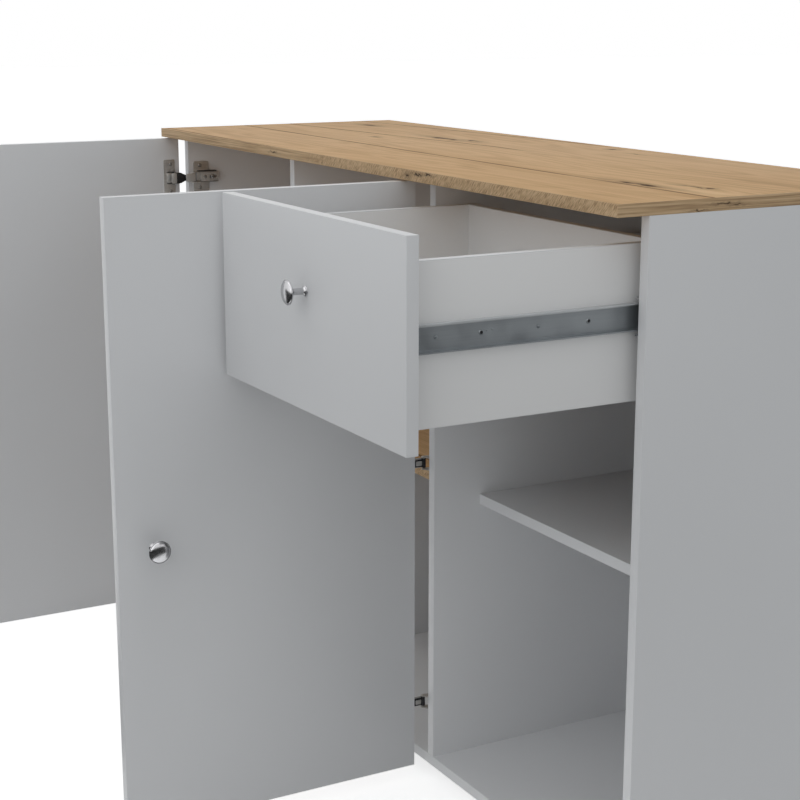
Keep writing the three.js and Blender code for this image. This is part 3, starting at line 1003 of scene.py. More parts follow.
@dataclass(frozen=True)
class Screw:
    """A screw head with a cross recess, its seat at z 0 and its top along +z."""

    name: str = "screw_head"
    radius: float = 4.0 * MM
    height: float = 2.2 * MM
    slot_length: float = 4.4 * MM
    slot_width: float = 1.0 * MM
    slot_depth: float = 1.5 * MM
    dome_angles: tuple[float, ...] = (20, 40, 58, 74, 84)

    def head(self) -> Mesh:
        """The head as a mesh in its own frame, made when it is first asked for.

        Returns:
            The mesh.
        """
        head = bpy.data.meshes.get(self.name)
        if head is None:
            angles = (math.radians(angle) for angle in self.dome_angles)
            dome = ((self.height * math.sin(a), self.radius * math.cos(a) ** 0.5) for a in angles)
            profile = [(0.0, 0.0), (0.0, self.radius), *dome, (self.height, 0.0)]
            head = Mold().turned(profile, Matrix(), 28).solid("blank")
            for along in (0, 1):
                half = Vector((self.slot_width, self.slot_width, 0)) / 2
                half[along] = self.slot_length / 2
                low = -half + Vector((0, 0, self.height - self.slot_depth))
                head = cut_away(head, Mold().box(low, half + Vector((0, 0, self.height * 2))))
            head.name = self.name
        return head


def seat(x: float, y: float, z: float, turn: float = 0.0, size: float = 1.0) -> Matrix:
    """Place of a screw head in the frame of what it holds, with its turn and its size."""
    return Matrix.Translation((x, y, z)) @ Matrix.Rotation(turn, 4, "Z") @ Matrix.Scale(size, 4)


def show_screws(
    name: str, frame: Matrix, seats: Iterable[Matrix], body: str, finish: Finish = SCREW_STEEL
) -> None:
    """Make the heads of some screws as one piece.

    Args:
        name: Name of the piece.
        frame: Frame of the part that they hold.
        seats: Their places in it.
        body: The body that they move with.
        finish: Their finish.
    """
    mold = Mold()
    for place in seats:
        mold.take(Screw().head().copy(), frame @ place)
    show(name, mold.solid(name), finish, body)


@dataclass(frozen=True)
class Knob:
    """A turned knob on its machine screw: a small base, a slim neck and a lens with a raised rim.

    The tables of turned steps hold pairs in millimetres: a distance, and what the radius is short of
    that of the base or of the disc.
    """

    name: str
    body: str
    facing: Side
    base: float = 6.5 * MM
    base_steps: tuple[Point, ...] = ((0.0, 0.3), (0.3, 0.0), (1.1, 0.0), (1.5, 0.25), (1.7, 0.7))
    neck: float = 4.0 * MM
    neck_foot: float = 5.2 * MM
    neck_from: float = 1.9 * MM
    neck_to: float = 5.2 * MM
    flare_from: float = 15.2 * MM
    flare_to: float = 22.2 * MM
    flare_radius: float = 13.85 * MM
    disc: float = 15.0 * MM
    back_of_disc: float = 22.8 * MM
    rim_steps: tuple[Point, ...] = (
        (-0.2, 0.55), (0.15, 0.0), (0.95, 0.0), (1.2, 0.25), (1.2, 0.7), (0.95, 0.85),
    )
    dome_from: float = 23.9 * MM
    dome_radius: float = 13.9 * MM
    length: float = 28.0 * MM
    hole: float = 2.3 * MM
    hole_depth: float = 9.3 * MM
    shank: float = 2.0 * MM
    shank_tip: float = 0.6 * MM

    def profile(self) -> Outline:
        """The knob's outline, from the screw hole round to the tip.

        Returns:
            Pairs of a distance from the board and a radius.
        """
        points: Outline = [(self.hole_depth, 0.0), (self.hole_depth, self.hole), (0.0, self.hole)]
        points += ((along * MM, self.base - less * MM) for along, less in self.base_steps)
        for t in (step / 8 for step in range(9)):
            radius = self.neck + (self.neck_foot - self.neck) * (1 - t) ** 2.4
            points.append((self.neck_from + (self.neck_to - self.neck_from) * t, radius))
        for t in (step / 12 for step in range(13)):
            radius = self.neck + (self.flare_radius - self.neck) * t**1.9
            points.append((self.flare_from + (self.flare_to - self.flare_from) * t, radius))
        points += ((self.back_of_disc + along * MM, self.disc - less * MM) for along, less in self.rim_steps)
        for angle in (math.pi / 2 * step / 14 for step in range(14)):
            along = self.dome_from + (self.length - self.dome_from) * math.sin(angle)
            points.append((along, self.dome_radius * math.cos(angle)))
        return [*points, (self.length, 0.0)]

    def build(self) -> None:
        """Make the knob and the screw that holds it from the back of the board."""
        node = self.name.replace("knob", "knob_screw")
        inner = self.facing.opposite()
        data = Mold().turned(self.profile(), self.facing.frame(face_of(self.name, inner)), 72)
        show(f"{self.name}_turned", data.solid(self.name), CHROME, self.body, self.name, 40.0)
        low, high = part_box(node)
        place = face_of(node, inner)
        place[inner.axis] += self.facing.sign * Screw.height
        frame = inner.frame(place)
        length = high[inner.axis] - low[inner.axis] - Screw.height
        shank = [(-length, 0.0), (-length, self.shank * 0.7), (self.shank_tip - length, self.shank),
                 (0.0, self.shank), (0.0, 0.0)]
        mold = Mold().take(Screw().head().copy(), frame).turned(shank, frame, 20)
        show(f"{node}_with_recess", mold.solid(node), SCREW_STEEL, self.body, node)


@dataclass(frozen=True)
class Foot:
    """A moulded foot: a flange on the board, a ribbed stem and a wide sole with a soft lip."""

    node: str
    flange: float = 26.0 * MM
    flange_thickness: float = 3.0 * MM
    flange_ease: float = 0.5 * MM
    stem: float = 13.0 * MM
    fillet: float = 1.5 * MM
    rib_reach: float = 24.0 * MM
    rib_thickness: float = 1.6 * MM
    rib_root: float = 1.0 * MM
    ribs: int = 8
    sole: float = 20.0 * MM
    sole_thickness: float = 4.0 * MM
    lip: float = 0.8 * MM
    screw_circle: float = 20.5 * MM
    screw_size: float = 0.7

    def build(self) -> None:
        """Make the foot and its three screws."""
        low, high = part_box(self.node)
        place = Matrix.Translation(face_of(self.node, Side.UNDER))
        top = high.z - low.z
        under_flange = top - self.flange_thickness
        lip, sole, stem, edge = self.lip, self.sole_thickness, self.stem, 0.3 * MM
        mold = Mold().turned([
            (0.0, 0.0), (0.0, self.sole - lip), (lip * 0.3, self.sole - lip * 0.3), (lip, self.sole),
            (sole - lip, self.sole), (sole, self.sole - lip),
            (sole + self.fillet, stem + 2.0 * MM), (sole + 3.5 * MM, stem),
            (under_flange - self.fillet, stem), (under_flange, stem + self.fillet),
            (under_flange, self.flange - self.flange_ease), (under_flange + self.flange_ease, self.flange),
            (top - edge, self.flange), (top, self.flange - edge), (top, 0.0),
        ], place, 56)
        outline = [
            (stem - self.rib_root, sole + 3.0 * MM), (stem + self.rib_thickness, sole + 3.0 * MM),
            (self.rib_reach - 3.0 * MM, under_flange - 3.0 * MM), (self.rib_reach, under_flange + 0.5 * MM),
            (stem - self.rib_root, under_flange + 0.5 * MM),
        ]
        for number in range(self.ribs):
            turn = Matrix.Rotation(2 * math.pi * number / self.ribs, 4, "Z")
            mold.prism(outline, place @ turn @ SIDEWAYS, -self.rib_thickness / 2, self.rib_thickness / 2)
        show(f"{self.node}_moulding", mold.solid(self.node), FOOT_PLASTIC, "carcass", self.node)
        under = place @ Matrix.Translation((0, 0, under_flange)) @ TURNED_OVER
        angles = (2 * math.pi * (number + 0.5) / 3 for number in range(3))
        spots = [(self.screw_circle * math.cos(a), self.screw_circle * math.sin(a)) for a in angles]
        seats = [seat(x, y, 0.0, size=self.screw_size) for x, y in spots]
        show_screws(f"{self.node}_screws", under, seats, "carcass")


# --------------------------------------------------------------------------------------- boards


@dataclass(frozen=True)
class Bore:
    """A round hole in a board, from one of its sides, in line with a piece that goes into it."""

    node: str
    side: Side
    radius: float
    depth: float
    flat: float = 0.0
    over: float = 1.0 * MM

    def cut(self, data: Mesh, face: float) -> Mesh:
        """A board's mesh with the hole, which has a flat on its front side where one is given.

        Args:
            data: The board's mesh.
            face: Place of the bored side along its axis.

        Returns:
            A new mesh.
        """
        start = face_of(self.node, self.side)
        start[self.side.axis] = face
        drill = Mold().rod(-self.depth, self.over, self.radius, self.side.frame(start), 64)
        if self.flat > 0:
            reach = Vector((self.radius, self.radius, self.radius)) * 2
            low, high = start - reach, start + reach
            high.y = start.y - self.flat
            drill = Mold().take(cut_away(drill.solid("drill"), Mold().box(low, high)), Matrix())
        return cut_away(data, drill)


@dataclass(frozen=True)
class Board:
    """A faced board with bands glued to some of its edges."""

    node: str
    body: str = "carcass"
    banded: tuple[Side, ...] = ()
    face: Finish = WHITE
    band: Finish = WHITE_BAND
    side_band: Finish | None = None
    bores: tuple[Bore, ...] = ()
    grooves: tuple[tuple[Vector, Vector], ...] = ()
    band_thickness: float = 0.8 * MM
    band_ease: float = 0.45 * MM
    face_ease: float = 0.12 * MM
    seam: float = 0.03 * MM

    def build(self) -> None:
        """Make the board's core and its bands."""
        low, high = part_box(self.node)
        core = {-1: low.copy(), 1: high.copy()}
        strips: list[tuple[Vector, Vector, Side]] = []
        for side in self.banded:
            strip = {-1: core[-1].copy(), 1: core[1].copy()}
            core[side.sign][side.axis] -= side.sign * self.band_thickness
            strip[-side.sign][side.axis] = core[side.sign][side.axis] + side.sign * self.seam
            strips.append((strip[-1], strip[1], side))
        data = Mold().box(core[-1], core[1], self.face_ease).solid(self.node)
        for bore in self.bores:
            data = bore.cut(data, bore.side.of(low, high))
        for groove in self.grooves:
            data = cut_away(data, Mold().box(*groove))
        show(f"{self.node}_board", data, self.face, self.body, self.node)
        for finish in dict.fromkeys(self.finish_of(side) for side in self.banded):
            mold = Mold()
            for strip_low, strip_high, side in strips:
                if self.finish_of(side) == finish:
                    mold.box(strip_low, strip_high, self.band_ease, side, 3)
            suffix = "edge_bands" if finish == self.band else "end_bands"
            show(f"{self.node}_{suffix}", mold.solid(self.node), finish, self.body)

    def finish_of(self, side: Side) -> Finish:
        """The finish of the band on a side."""
        return self.side_band if self.side_band is not None and side.axis == 0 else self.band


@dataclass(frozen=True)
class CoverCaps:
    """Thin domed caps over the cam fittings on one face of a board."""

    name: str
    spots: tuple[Vector, ...]
    facing: Side
    finish: Finish = WHITE_CAP
    radius: float = 8.5 * MM
    height: float = 0.7 * MM

    def build(self) -> None:
        """Make the caps as one piece."""
        rim, top = self.radius, self.height
        profile = [
            (0.0, 0.0), (0.0, rim), (0.25 * MM, rim), (0.5 * MM, rim - 0.4 * MM),
            (top - 0.05 * MM, rim - 1.6 * MM), (top, rim * 0.4), (top, 0.0),
        ]
        mold = Mold()
        for spot in self.spots:
            mold.turned(profile, self.facing.frame(spot), 40)
        show(self.name, mold.solid(self.name), self.finish, "carcass")


@dataclass(frozen=True)
class Carcass:
    """The boards that stand still, their feet and the caps over their fittings."""

    cam_from_end: float = 34.0 * MM
    cam_from_edge: float = 50.0 * MM
    bays: tuple[str, ...] = ("left", "middle", "right")
    columns: tuple[str, ...] = ("left", "divider_left", "divider_right", "right")

    def boards(self) -> list[Board]:
        """Every board of the carcass.

        Returns:
            The boards, in the order of making.
        """
        oak = {"face": OAK, "band": OAK_FRONT_BAND}
        all_round = (Side.LEFT, Side.RIGHT, Side.FRONT, Side.BACK)
        ends = (Side.FRONT, Side.BACK)
        return [
            Board("worktop", banded=all_round, side_band=OAK_SIDE_BAND, **oak),
            *(Board(f"side_panel_{side}", banded=(*ends, Side.UNDER)) for side in ("left", "right")),
            *(Board(node, banded=ends) for node in ("divider_left", "divider_right", "bottom_panel")),
            *(Board(f"back_{bay}", banded=(Side.TOP,)) for bay in self.bays),
            *(Board(f"shelf_{bay}", banded=(Side.FRONT,), **oak) for bay in self.bays[:2]),
            Board("shelf_right", banded=(Side.FRONT,)),
        ]

    def build(self) -> None:
        """Make the boards, the caps under the shelves and on the backs, and the feet."""
        for board in self.boards():
            board.build()
        for bay, finish in zip(self.bays, (OAK_CAP, OAK_CAP, WHITE_CAP)):
            low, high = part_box(f"shelf_{bay}")
            columns = (low.x + self.cam_from_end, high.x - self.cam_from_end)
            rows = (low.y + self.cam_from_edge, high.y - self.cam_from_edge)
            spots = tuple(Vector((x, y, low.z)) for x in columns for y in rows)
            CoverCaps(f"shelf_{bay}_cam_caps", spots, Side.UNDER, finish).build()
            low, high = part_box(f"back_{bay}")
            rows = (low.z + self.cam_from_edge * 2, (low.z + high.z) / 2, high.z - self.cam_from_edge * 2)
            spots = tuple(Vector((x, high.y, z)) for x in columns for z in rows)
            CoverCaps(f"back_{bay}_cam_caps", spots, Side.BACK).build()
        for row in ("front", "back"):
            for column in self.columns:
                Foot(f"foot_{row}_{column}").build()


# --------------------------------------------------------------------------------------- hinges


@dataclass(frozen=True)
class Hinge:
    """A cup hinge: the pressed cup in the door, the link, and the arm on its mounting plate."""

    door: str
    place: str
    facing: Side
    sheet: float = 1.2 * MM
    cup_radius: float = 17.3 * MM
    cup_wall: float = 1.3 * MM
    cup_depth: float = 11.4 * MM
    cup_flat: float = 6.7 * MM
    floor_round: float = 1.6 * MM
    lip: float = 0.6 * MM
    rim: float = 18.2 * MM
    ear_near: float = -7.5 * MM
    ear_far: float = 13.5 * MM
    ear_half_height: float = 32.5 * MM
    ear_screws: Point = (6.0 * MM, 24.0 * MM)
    ear_screw_size: float = 0.8
    screw_play: float = 0.2 * MM
    screws_proud: float = 0.3 * MM
    ear_corner: float = 2.5 * MM
    ear_ease: float = 0.25 * MM
    axis_place: Place = (-8.0, 0.0, -5.5)
    axis_half: float = 10.0 * MM
    axis_radius: float = 1.5 * MM
    bridge: tuple[Point, Point] = ((-2.4 * MM, -8.8 * MM), (8.4 * MM, 8.8 * MM))
    bridge_corner: float = 2.2 * MM
    bridge_from: float = 0.2 * MM
    bridge_to: float = 1.8 * MM
    window: float = 10.8 * MM
    shoulder: float = -2.0 * MM
    plate_front: float = 9.0 * MM
    plate_back: float = 38.0 * MM
    plate_half: float = 27.0 * MM
    plate_thickness: float = 2.2 * MM
    wing_root: float = 11.5 * MM
    wing_corner: float = 3.0 * MM
    wing_screws: Point = (21.0 * MM, 20.0 * MM)
    tail: Point = (52.0 * MM, 8.2 * MM)
    saddle: tuple[Place, Place] = ((12.0, -7.6, 1.0), (50.0, 7.6, 9.2))
    # Box in millimetres of a near-black strip along the top of the arm: painted shadow, which stands in for
    # the dark gap between the arm and its plate.
    spring: tuple[Place, Place] = ((15.0, 9.6, 2.4), (50.0, 11.0, 11.0))
    arm_screws: tuple[tuple[float, ...], ...] = (
        (27.0 * MM, 0.0, 12.0 * MM, 1.08, 0.85), (42.0 * MM, 0.0, 12.0 * MM, 1.68, 1.0),
    )
    arm_half: float = 9.5 * MM
    arm_sheet: float = 1.4 * MM
    arm_height: float = 12.5 * MM
    arm_back: float = 53.0 * MM
    arm_under: float = 2.6 * MM
    rivet: float = 1.6 * MM
    rivet_cap: float = 2.5 * MM
    nose: float = 3.6 * MM
    eye: float = 3.2 * MM
    eye_outer: float = 3.1 * MM
    eye_inner: float = 2.0 * MM
    link_high: float = 9.6 * MM
    link_low: float = 6.6 * MM
    link_narrow: float = 5.2 * MM
    link_thickness: float = 2.6 * MM
    link_bend: float = 2.8 * MM
    taper: Point = (12.5 * MM, 22.0 * MM)

    @property
    def tag(self) -> str:
        """Ending of the names of the hinge's solids."""
        return f"{self.door}_{self.place}"

    def cup_frame(self) -> Matrix:
        """Frame of the cup: x towards the door's hinge edge, y up, z out of the door's inner face.

        Returns:
            The matrix.
        """
        origin = face_of(f"hinge_cup_{self.tag}", self.facing)
        origin.x -= self.facing.sign * self.sheet
        return self.facing.backward_frame(origin)

    def arm_frame(self) -> Matrix:
        """Frame of the arm: x to the back of the unit, y up, z off the upright.

        Returns:
            The matrix.
        """
        origin = face_of(f"hinge_arm_{self.tag}", self.facing.opposite())
        origin.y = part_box("side_panel_left")[0].y
        return self.facing.backward_frame(origin)

    def pin(self) -> Vector:
        """Middle of the link's rivet, seen in the arm's frame.

        Returns:
            The point.
        """
        low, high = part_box(f"hinge_link_{self.tag}")
        across = self.facing.of(low, high) - self.facing.sign * self.eye
        return self.arm_frame().inverted() @ Vector((across, high.y - self.eye, (low.z + high.z) / 2))

    def pot(self) -> Outline:
        """Section of the cup, from the inside round to the outside.

        Returns:
            Pairs of a place along the axis and a radius.
        """
        inner, outer, rim = self.cup_radius - self.cup_wall, self.cup_radius, self.rim
        bottom, bend, lip, under_rim = -self.cup_depth, self.floor_round, self.lip, 0.05 * MM
        floor = bottom + self.cup_wall
        return [
            (floor, 0.0), (floor, inner - bend), (floor + bend * 0.3, inner - bend * 0.3),
            (floor + bend, inner), (lip - 0.3 * MM, inner), (lip - 0.05 * MM, inner + 0.3 * MM),
            (lip, inner + 0.8 * MM), (lip, rim - 0.3 * MM), (lip - 0.2 * MM, rim), (under_rim, rim),
            (under_rim, outer), (bottom + bend, outer), (bottom + bend * 0.3, outer - bend * 0.3),
            (bottom, outer - bend), (bottom, 0.0),
        ]

    def build_cup(self) -> None:
        """Make the cup with its ears, the bridge over its pins, and its two screws."""
        frame = self.cup_frame()
        beside = Mold().box(mm(-40, -40, -40), Vector((-self.cup_flat, 40 * MM, 40 * MM)))
        mold = Mold().take(cut_away(Mold().turned(self.pot(), Matrix(), 64).solid("pot"), beside), frame)
        outline = mirrored([
            (self.ear_near, -self.ear_half_height), (self.ear_far, -self.ear_half_height),
            (self.ear_far, -self.window), (self.shoulder, -self.window),
        ], 1)
        rounded, gap = rounded_path(outline, self.ear_corner), self.sheet * 0.04
        data = Mold().prism(rounded, Matrix(), gap, self.sheet - gap, self.ear_ease).solid("flange")
        along, aside = self.ear_screws
        hole = Screw.radius * self.ear_screw_size + self.screw_play
        for side in (-1, 1):
            spot = Matrix.Translation((along, side * aside, 0.0))
            data = cut_away(data, Mold().rod(-2.0 * MM, 4.0 * MM, hole, spot, 32))
        axis = frame @ Matrix.Translation(mm(*self.axis_place)) @ UPRIGHT
        mold.take(data, frame).rod(-self.axis_half, self.axis_half, self.axis_radius, axis, 20)
        name, body = f"hinge_cup_{self.tag}", f"{self.door}_door"
        show(f"{name}_pressing", mold.solid(name), HINGE_STEEL, body, name)
        corners = rounded_rectangle(*self.bridge, self.bridge_corner)
        raised = Mold().prism(corners, frame, self.bridge_from, self.bridge_to, 0.4 * MM)
        show(f"{name}_bridge", raised.solid(name), NOSE_STEEL, body)
        sunk = self.sheet + self.screws_proud - Screw.height * self.ear_screw_size
        seats = [seat(along, side * aside, sunk, 0.5 * side + 0.3, self.ear_screw_size) for side in (-1, 1)]
        show_screws(f"{name}_screws", frame, seats, body)

    def build_arm(self) -> None:
        """Make the mounting plate, the folded arm with its rivet, and their screws."""
        frame = self.arm_frame()
        back, half, thick = self.plate_back, self.plate_half, self.plate_thickness
        tail_end, tail_half = self.tail
        wings = [(self.plate_front, -half), (back, -half), (back, -self.wing_root), (tail_end, -tail_half)]
        rounded, gap = rounded_path(mirrored(wings, 1), self.wing_corner), 0.05 * MM
        mold = Mold().prism(rounded, frame, gap, thick + gap, 0.4 * MM)
        mold.block(mm(*self.saddle[0]), mm(*self.saddle[1]), frame, 0.8 * MM)
        show(f"hinge_plate_{self.tag}", mold.solid("plate"), HINGE_STEEL, "carcass")
        self.build_folded_arm(frame)
        # Painted shadow: a near-black strip over the upper cheek, where the gap between the arm and the plate
        # lies in shade.
        spring = Mold().block(mm(*self.spring[0]), mm(*self.spring[1]), frame, 0.3 * MM)
        show(f"hinge_arm_{self.tag}_spring", spring.solid("spring"), LINK_STEEL, "carcass")
        along, aside = self.wing_screws
        seats = [seat(along, side * aside, thick, 0.4 + side, 0.85) for side in (-1, 1)]
        seats += [seat(*place) for place in self.arm_screws]
        show_screws(f"hinge_arm_{self.tag}_screws", frame, seats, "carcass")

    def build_folded_arm(self, frame: Matrix) -> None:
        """Make the arm: two cheeks and a top folded from one sheet, and the rivet at its nose.

        Args:
            frame: The arm's frame.
        """
        pin, nose, back, under = self.pin(), self.nose, self.arm_back, self.arm_under
        sheet, half, top = self.arm_sheet, self.arm_half, self.arm_height
        cheek = rounded_path([
            (back, under), (12.0 * MM, under), (pin.x - nose * 0.3, pin.z - nose),
            (pin.x - nose, pin.z - nose * 0.3), (pin.x - nose, pin.z + nose * 0.4),
            (pin.x + nose * 0.2, pin.z + nose), (18.0 * MM, max(top, pin.z - 1.0 * MM)), (20.0 * MM, top),
            (back, top),
        ], 1.6 * MM)
        mold = Mold()
        for side in (-1, 1):
            mold.prism(cheek, frame @ SIDEWAYS, side * (half - sheet), side * half, 0.25 * MM)
        lid_low = Vector((18.5 * MM, -half, top - sheet))
        lid = Mold().box(lid_low, Vector((back, half, top)), 0.5 * MM, None, 3)
        tongue_low = Vector((8.6 * MM, sheet - half, top - sheet))
        lid.box(tongue_low, Vector((20 * MM, half - sheet, top)), 0.3 * MM)
        slot_low = Vector((36.0 * MM, -2.6 * MM, top - 3 * MM))
        slot = Mold().box(slot_low, Vector((49.0 * MM, 2.6 * MM, top + 1 * MM)), 0.8 * MM)
        mold.take(cut_away(lid.solid("lid"), slot), frame)
        end, rivet, cap = half + 0.05 * MM, self.rivet, self.rivet_cap
        upright = frame @ Matrix.Translation((pin.x, 0, pin.z)) @ UPRIGHT
        mold.turned(mirrored([
            (-end - 0.5 * MM, 0.0), (-end - 0.35 * MM, cap * 0.8), (-end, cap), (-end + 0.1 * MM, rivet),
        ], 0), upright, 24)
        name = f"hinge_arm_{self.tag}"
        show(f"{name}_folded", mold.solid(name), HINGE_STEEL, "carcass", name)

    def build_link(self) -> None:
        """Make the link, drawn near black as painted shade, wide at the cup and narrow at the arm, and the
        bright cap on its end.
        """
        name, body = f"hinge_link_{self.tag}", f"{self.door}_hinge_links"
        low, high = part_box(name)
        frame, pin = self.arm_frame(), self.pin()
        inverse = frame.inverted()
        end_x = (inverse @ Vector(((low.x + high.x) / 2, low.y, 0))).x
        narrow, wide = self.link_narrow, self.link_high
        inner_face, outer_face = pin.z - self.link_thickness / 2, pin.z + self.link_thickness / 2
        upright = frame @ Matrix.Translation((pin.x, 0, pin.z)) @ UPRIGHT
        loop = mirrored([(-self.link_low, self.eye_inner), (-self.link_low, self.eye_outer)], 0)
        mold = Mold().turned(loop, upright, 32)
        start = pin.x - self.eye_inner - 0.6 * MM
        taper_start, taper_end = (start - along for along in self.taper)
        outline = mirrored([(start, narrow), (taper_start, narrow), (taper_end, wide), (end_x, wide)], 1)
        mold.prism(rounded_path(outline, 1.2 * MM), frame, inner_face, outer_face, 0.35 * MM)
        reach = (inverse @ face_of(name, self.facing.opposite())).z
        bend_low = Vector((end_x, -self.link_low, reach))
        mold.block(bend_low, Vector((end_x + self.link_bend, self.link_low, pin.z)), frame, 0.6 * MM)
        # The link is drawn near black: painted shade, which stands in for the shade in the gap between door
        # and upright.
        show(f"{name}_forged", mold.solid(name), LINK_STEEL, body, name)
        cap_half = wide - 0.4 * MM
        cap = rounded_rectangle((end_x - 4.4 * MM, -cap_half), (end_x + 5.5 * MM, cap_half), 2.0 * MM)
        shell = Mold().prism(cap, frame, outer_face, outer_face + 0.7 * MM, 0.3 * MM)
        inset = rounded_rectangle((start - 10.5 * MM, -3.4 * MM), (start - 1.2 * MM, 3.4 * MM), 1.0 * MM)
        shell.prism(inset, frame, inner_face - 0.4 * MM, inner_face + 0.1 * MM, 0.15 * MM)
        sleeve_low = Vector((start - 12.0 * MM, -7.0 * MM, outer_face - 0.2 * MM))
        sleeve_high = Vector((pin.x + 3.4 * MM, 7.0 * MM, pin.z + self.eye_outer + 0.5 * MM))
        shell.block(sleeve_low, sleeve_high, frame, 0.7 * MM, 3)
        show(f"hinge_link_caps_{self.tag}", shell.solid(name), NOSE_STEEL, body)

    def build(self) -> None:
        """Make the whole hinge."""
        self.build_cup()
        self.build_arm()
        self.build_link()


@dataclass(frozen=True)
class Door:
    """A door with its bands, knob, and three hinges."""

    name: str
    inner: Side
    heights: tuple[str, ...] = ("top", "middle", "bottom")
    cup_hole: float = 17.8 * MM
    cup_flat: float = 7.1 * MM
    cup_depth: float = 12.0 * MM
    knob_hole: float = 2.5 * MM

    def build(self) -> None:
        """Make the door and all it carries."""
        cups = (f"hinge_cup_{self.name}_{place}" for place in self.heights)
        bores = [Bore(cup, self.inner, self.cup_hole, self.cup_depth, self.cup_flat) for cup in cups]
        bores.append(Bore(f"door_knob_{self.name}", self.inner, self.knob_hole, 20 * MM))
        body = f"{self.name}_door"
        bands = (Side.FRONT, Side.BACK, Side.UNDER, Side.TOP)
        Board(f"door_{self.name}", body, bands, bores=tuple(bores)).build()
        Knob(f"door_knob_{self.name}", body, self.inner.opposite()).build()
        for place in self.heights:
            Hinge(self.name, place, self.inner).build()


# --------------------------------------------------------------------------------------- drawer


@dataclass(frozen=True)
class Slide:
    """A ball-bearing slide: cabinet member, ball cage with its balls, and drawer member."""

    side: str
    facing: Side
    sheet: float = 1.2 * MM
    height: float = 45.0 * MM
    inner_height: float = 31.5 * MM
    bend: float = 2.4 * MM
    race: float = 1.3 * MM
    hole: float = 2.4 * MM
    ball: float = 2.45 * MM
    balls: int = 6
    cage_sheet: float = 0.8 * MM
    outer_holes: tuple[float, ...] = (60.0 * MM, 140.0 * MM, 220.0 * MM)
    inner_holes: tuple[float, ...] = (91.0 * MM, 232.0 * MM)
    screw_size: float = 0.55
    dimple_size: float = 0.22

    def frame(self) -> Matrix:
        """Frame of the slide: x to the back, y up, z off the carcass board.

        Returns:
            The matrix.
        """
        origin = face_of(f"slide_outer_{self.side}", self.facing.opposite())
        origin.y = 0.0
        return self.facing.backward_frame(origin)

    def lipped(self, back: float, lips: float, half: float, curl: float) -> Outline:
        """Section of a channel whose flanges are rolled to a race for the balls.

        Args:
            back: Outer face of the web, off the carcass board.
            lips: Ends of the flanges, off the carcass board.
            half: Half of the channel's height.
            curl: How far the race is rolled into the flange, inwards where it is positive.

        Returns:
            The section as pairs of a height and a distance off the board.
        """
        way, bend = math.copysign(1, lips - back), self.bend
        corner = []
        for angle in (math.pi / 2 * step / 4 for step in range(5)):
            corner.append((half - bend + bend * math.sin(angle), back + way * bend * (1 - math.cos(angle))))
        flange = []
        for t in (step / 10 for step in range(11)):
            flange.append((half - curl * math.sin(math.pi * t) ** 2, back + (lips - back) * (0.3 + 0.7 * t)))
        inside = ((h - self.sheet, d) for h, d in reversed(flange))
        root = (half - self.sheet - 1.2 * MM, back + way * self.sheet)
        return mirrored([*corner, *flange, *inside, root], 0)

    def member(self, node: str, section: Outline, back: float, way: int, holes: Iterable[float]) -> Mesh:
        """One member: its section drawn out along the slide, with its screw holes.

        Args:
            node: The solid that it stands for.
            section: Its section.
            back: Outer face of its web.
            way: 1 where its flanges stand off the carcass board, -1 where they point to it.
            holes: Places of its holes along the slide.

        Returns:
            The member's mesh.
        """
        low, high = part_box(node)
        data = Mold().prism(section, self.frame() @ ENDWAYS, low.y, high.y).solid(node)
        for place in holes:
            spot = self.frame() @ Matrix.Translation((place, 0, back - way * 1.0 * MM))
            data = cut_away(data, Mold().rod(0.0, 4.0 * self.sheet * way, self.hole, spot, 24))
        return data

    def build(self) -> None:
        """Make the slide, with the plastic stop at the rear end of its cabinet member."""
        node = f"slide_outer_{self.side}"
        low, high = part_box(node)
        section = self.lipped(0.0, high.x - low.x, self.height / 2, self.race)
        data = self.member(node, section, 0.0, 1, (low.y + along for along in self.outer_holes))
        show(f"{node}_rolled", data, SLIDE_STEEL, "carcass", node, 25.0)
        frame = self.frame()
        places = (low.y + 35 * MM, low.y + 180 * MM, high.y - 50 * MM)
        seats = [seat(place, 0.0, self.sheet, size=self.screw_size) for place in places]
        show_screws(f"{node}_screws", frame, seats, "carcass")
        self.build_inner(frame)
        self.build_cage(frame)
        stop_low = Vector((high.y - 9 * MM, -13 * MM, 1.25 * MM))
        stop = Mold().block(stop_low, Vector((high.y - 1 * MM, 13 * MM, 5.5 * MM)), frame, 1.0 * MM, 3)
        show(f"slide_stop_{self.side}", stop.solid("stop"), FOOT_PLASTIC, "carcass")

    def build_inner(self, frame: Matrix) -> None:
        """Make the drawer member, its eyelets, its blind rivets and its screws.

        Args:
            frame: Frame of the slide.
        """
        node = f"slide_inner_{self.side}"
        low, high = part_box(node)
        near, far = sorted((frame.inverted() @ corner).z for corner in (low, high))
        holes = [low.y + along for along in self.inner_holes]
        section = self.lipped(far, near, self.inner_height / 2, -self.race * 0.8)
        show(f"{node}_rolled", self.member(node, section, far, -1, holes), SLIDE_STEEL, "drawer", node, 25.0)
        eyelets, rivets = Mold(), Mold()
        eyelet = [(0.1 * MM, 1.9 * MM), (-0.7 * MM, 2.0 * MM), (-0.7 * MM, 2.4 * MM), (0.1 * MM, 3.4 * MM)]
        for place in holes:
            spot = frame @ Matrix.Translation((place, 0, far - self.sheet))
            eyelets.turned(eyelet, spot, 28)
            rivets.rod(self.sheet * 0.9, self.sheet * 0.4, 2.3 * MM, spot, 20)
        show(f"{node}_eyelets", eyelets.solid("eyelets"), SLIDE_STEEL, "drawer")
        show(f"{node}_blind_rivets", rivets.solid("rivets"), LINK_STEEL, "drawer")
        places = (low.y + 34 * MM, low.y + 165 * MM, high.y - 40 * MM)
        dimples = (low.y + 98 * MM, low.y + 105 * MM, high.y - 12 * MM)
        seats = [seat(place, 0.0, 0.0, size=self.screw_size) for place in places]
        seats += [seat(place, -2 * MM, 0.0, size=self.dimple_size) for place in dimples]
        over = frame @ Matrix.Translation((0, 0, far - self.sheet)) @ TURNED_OVER
        show_screws(f"{node}_screws", over, seats, "drawer", SLIDE_STEEL)

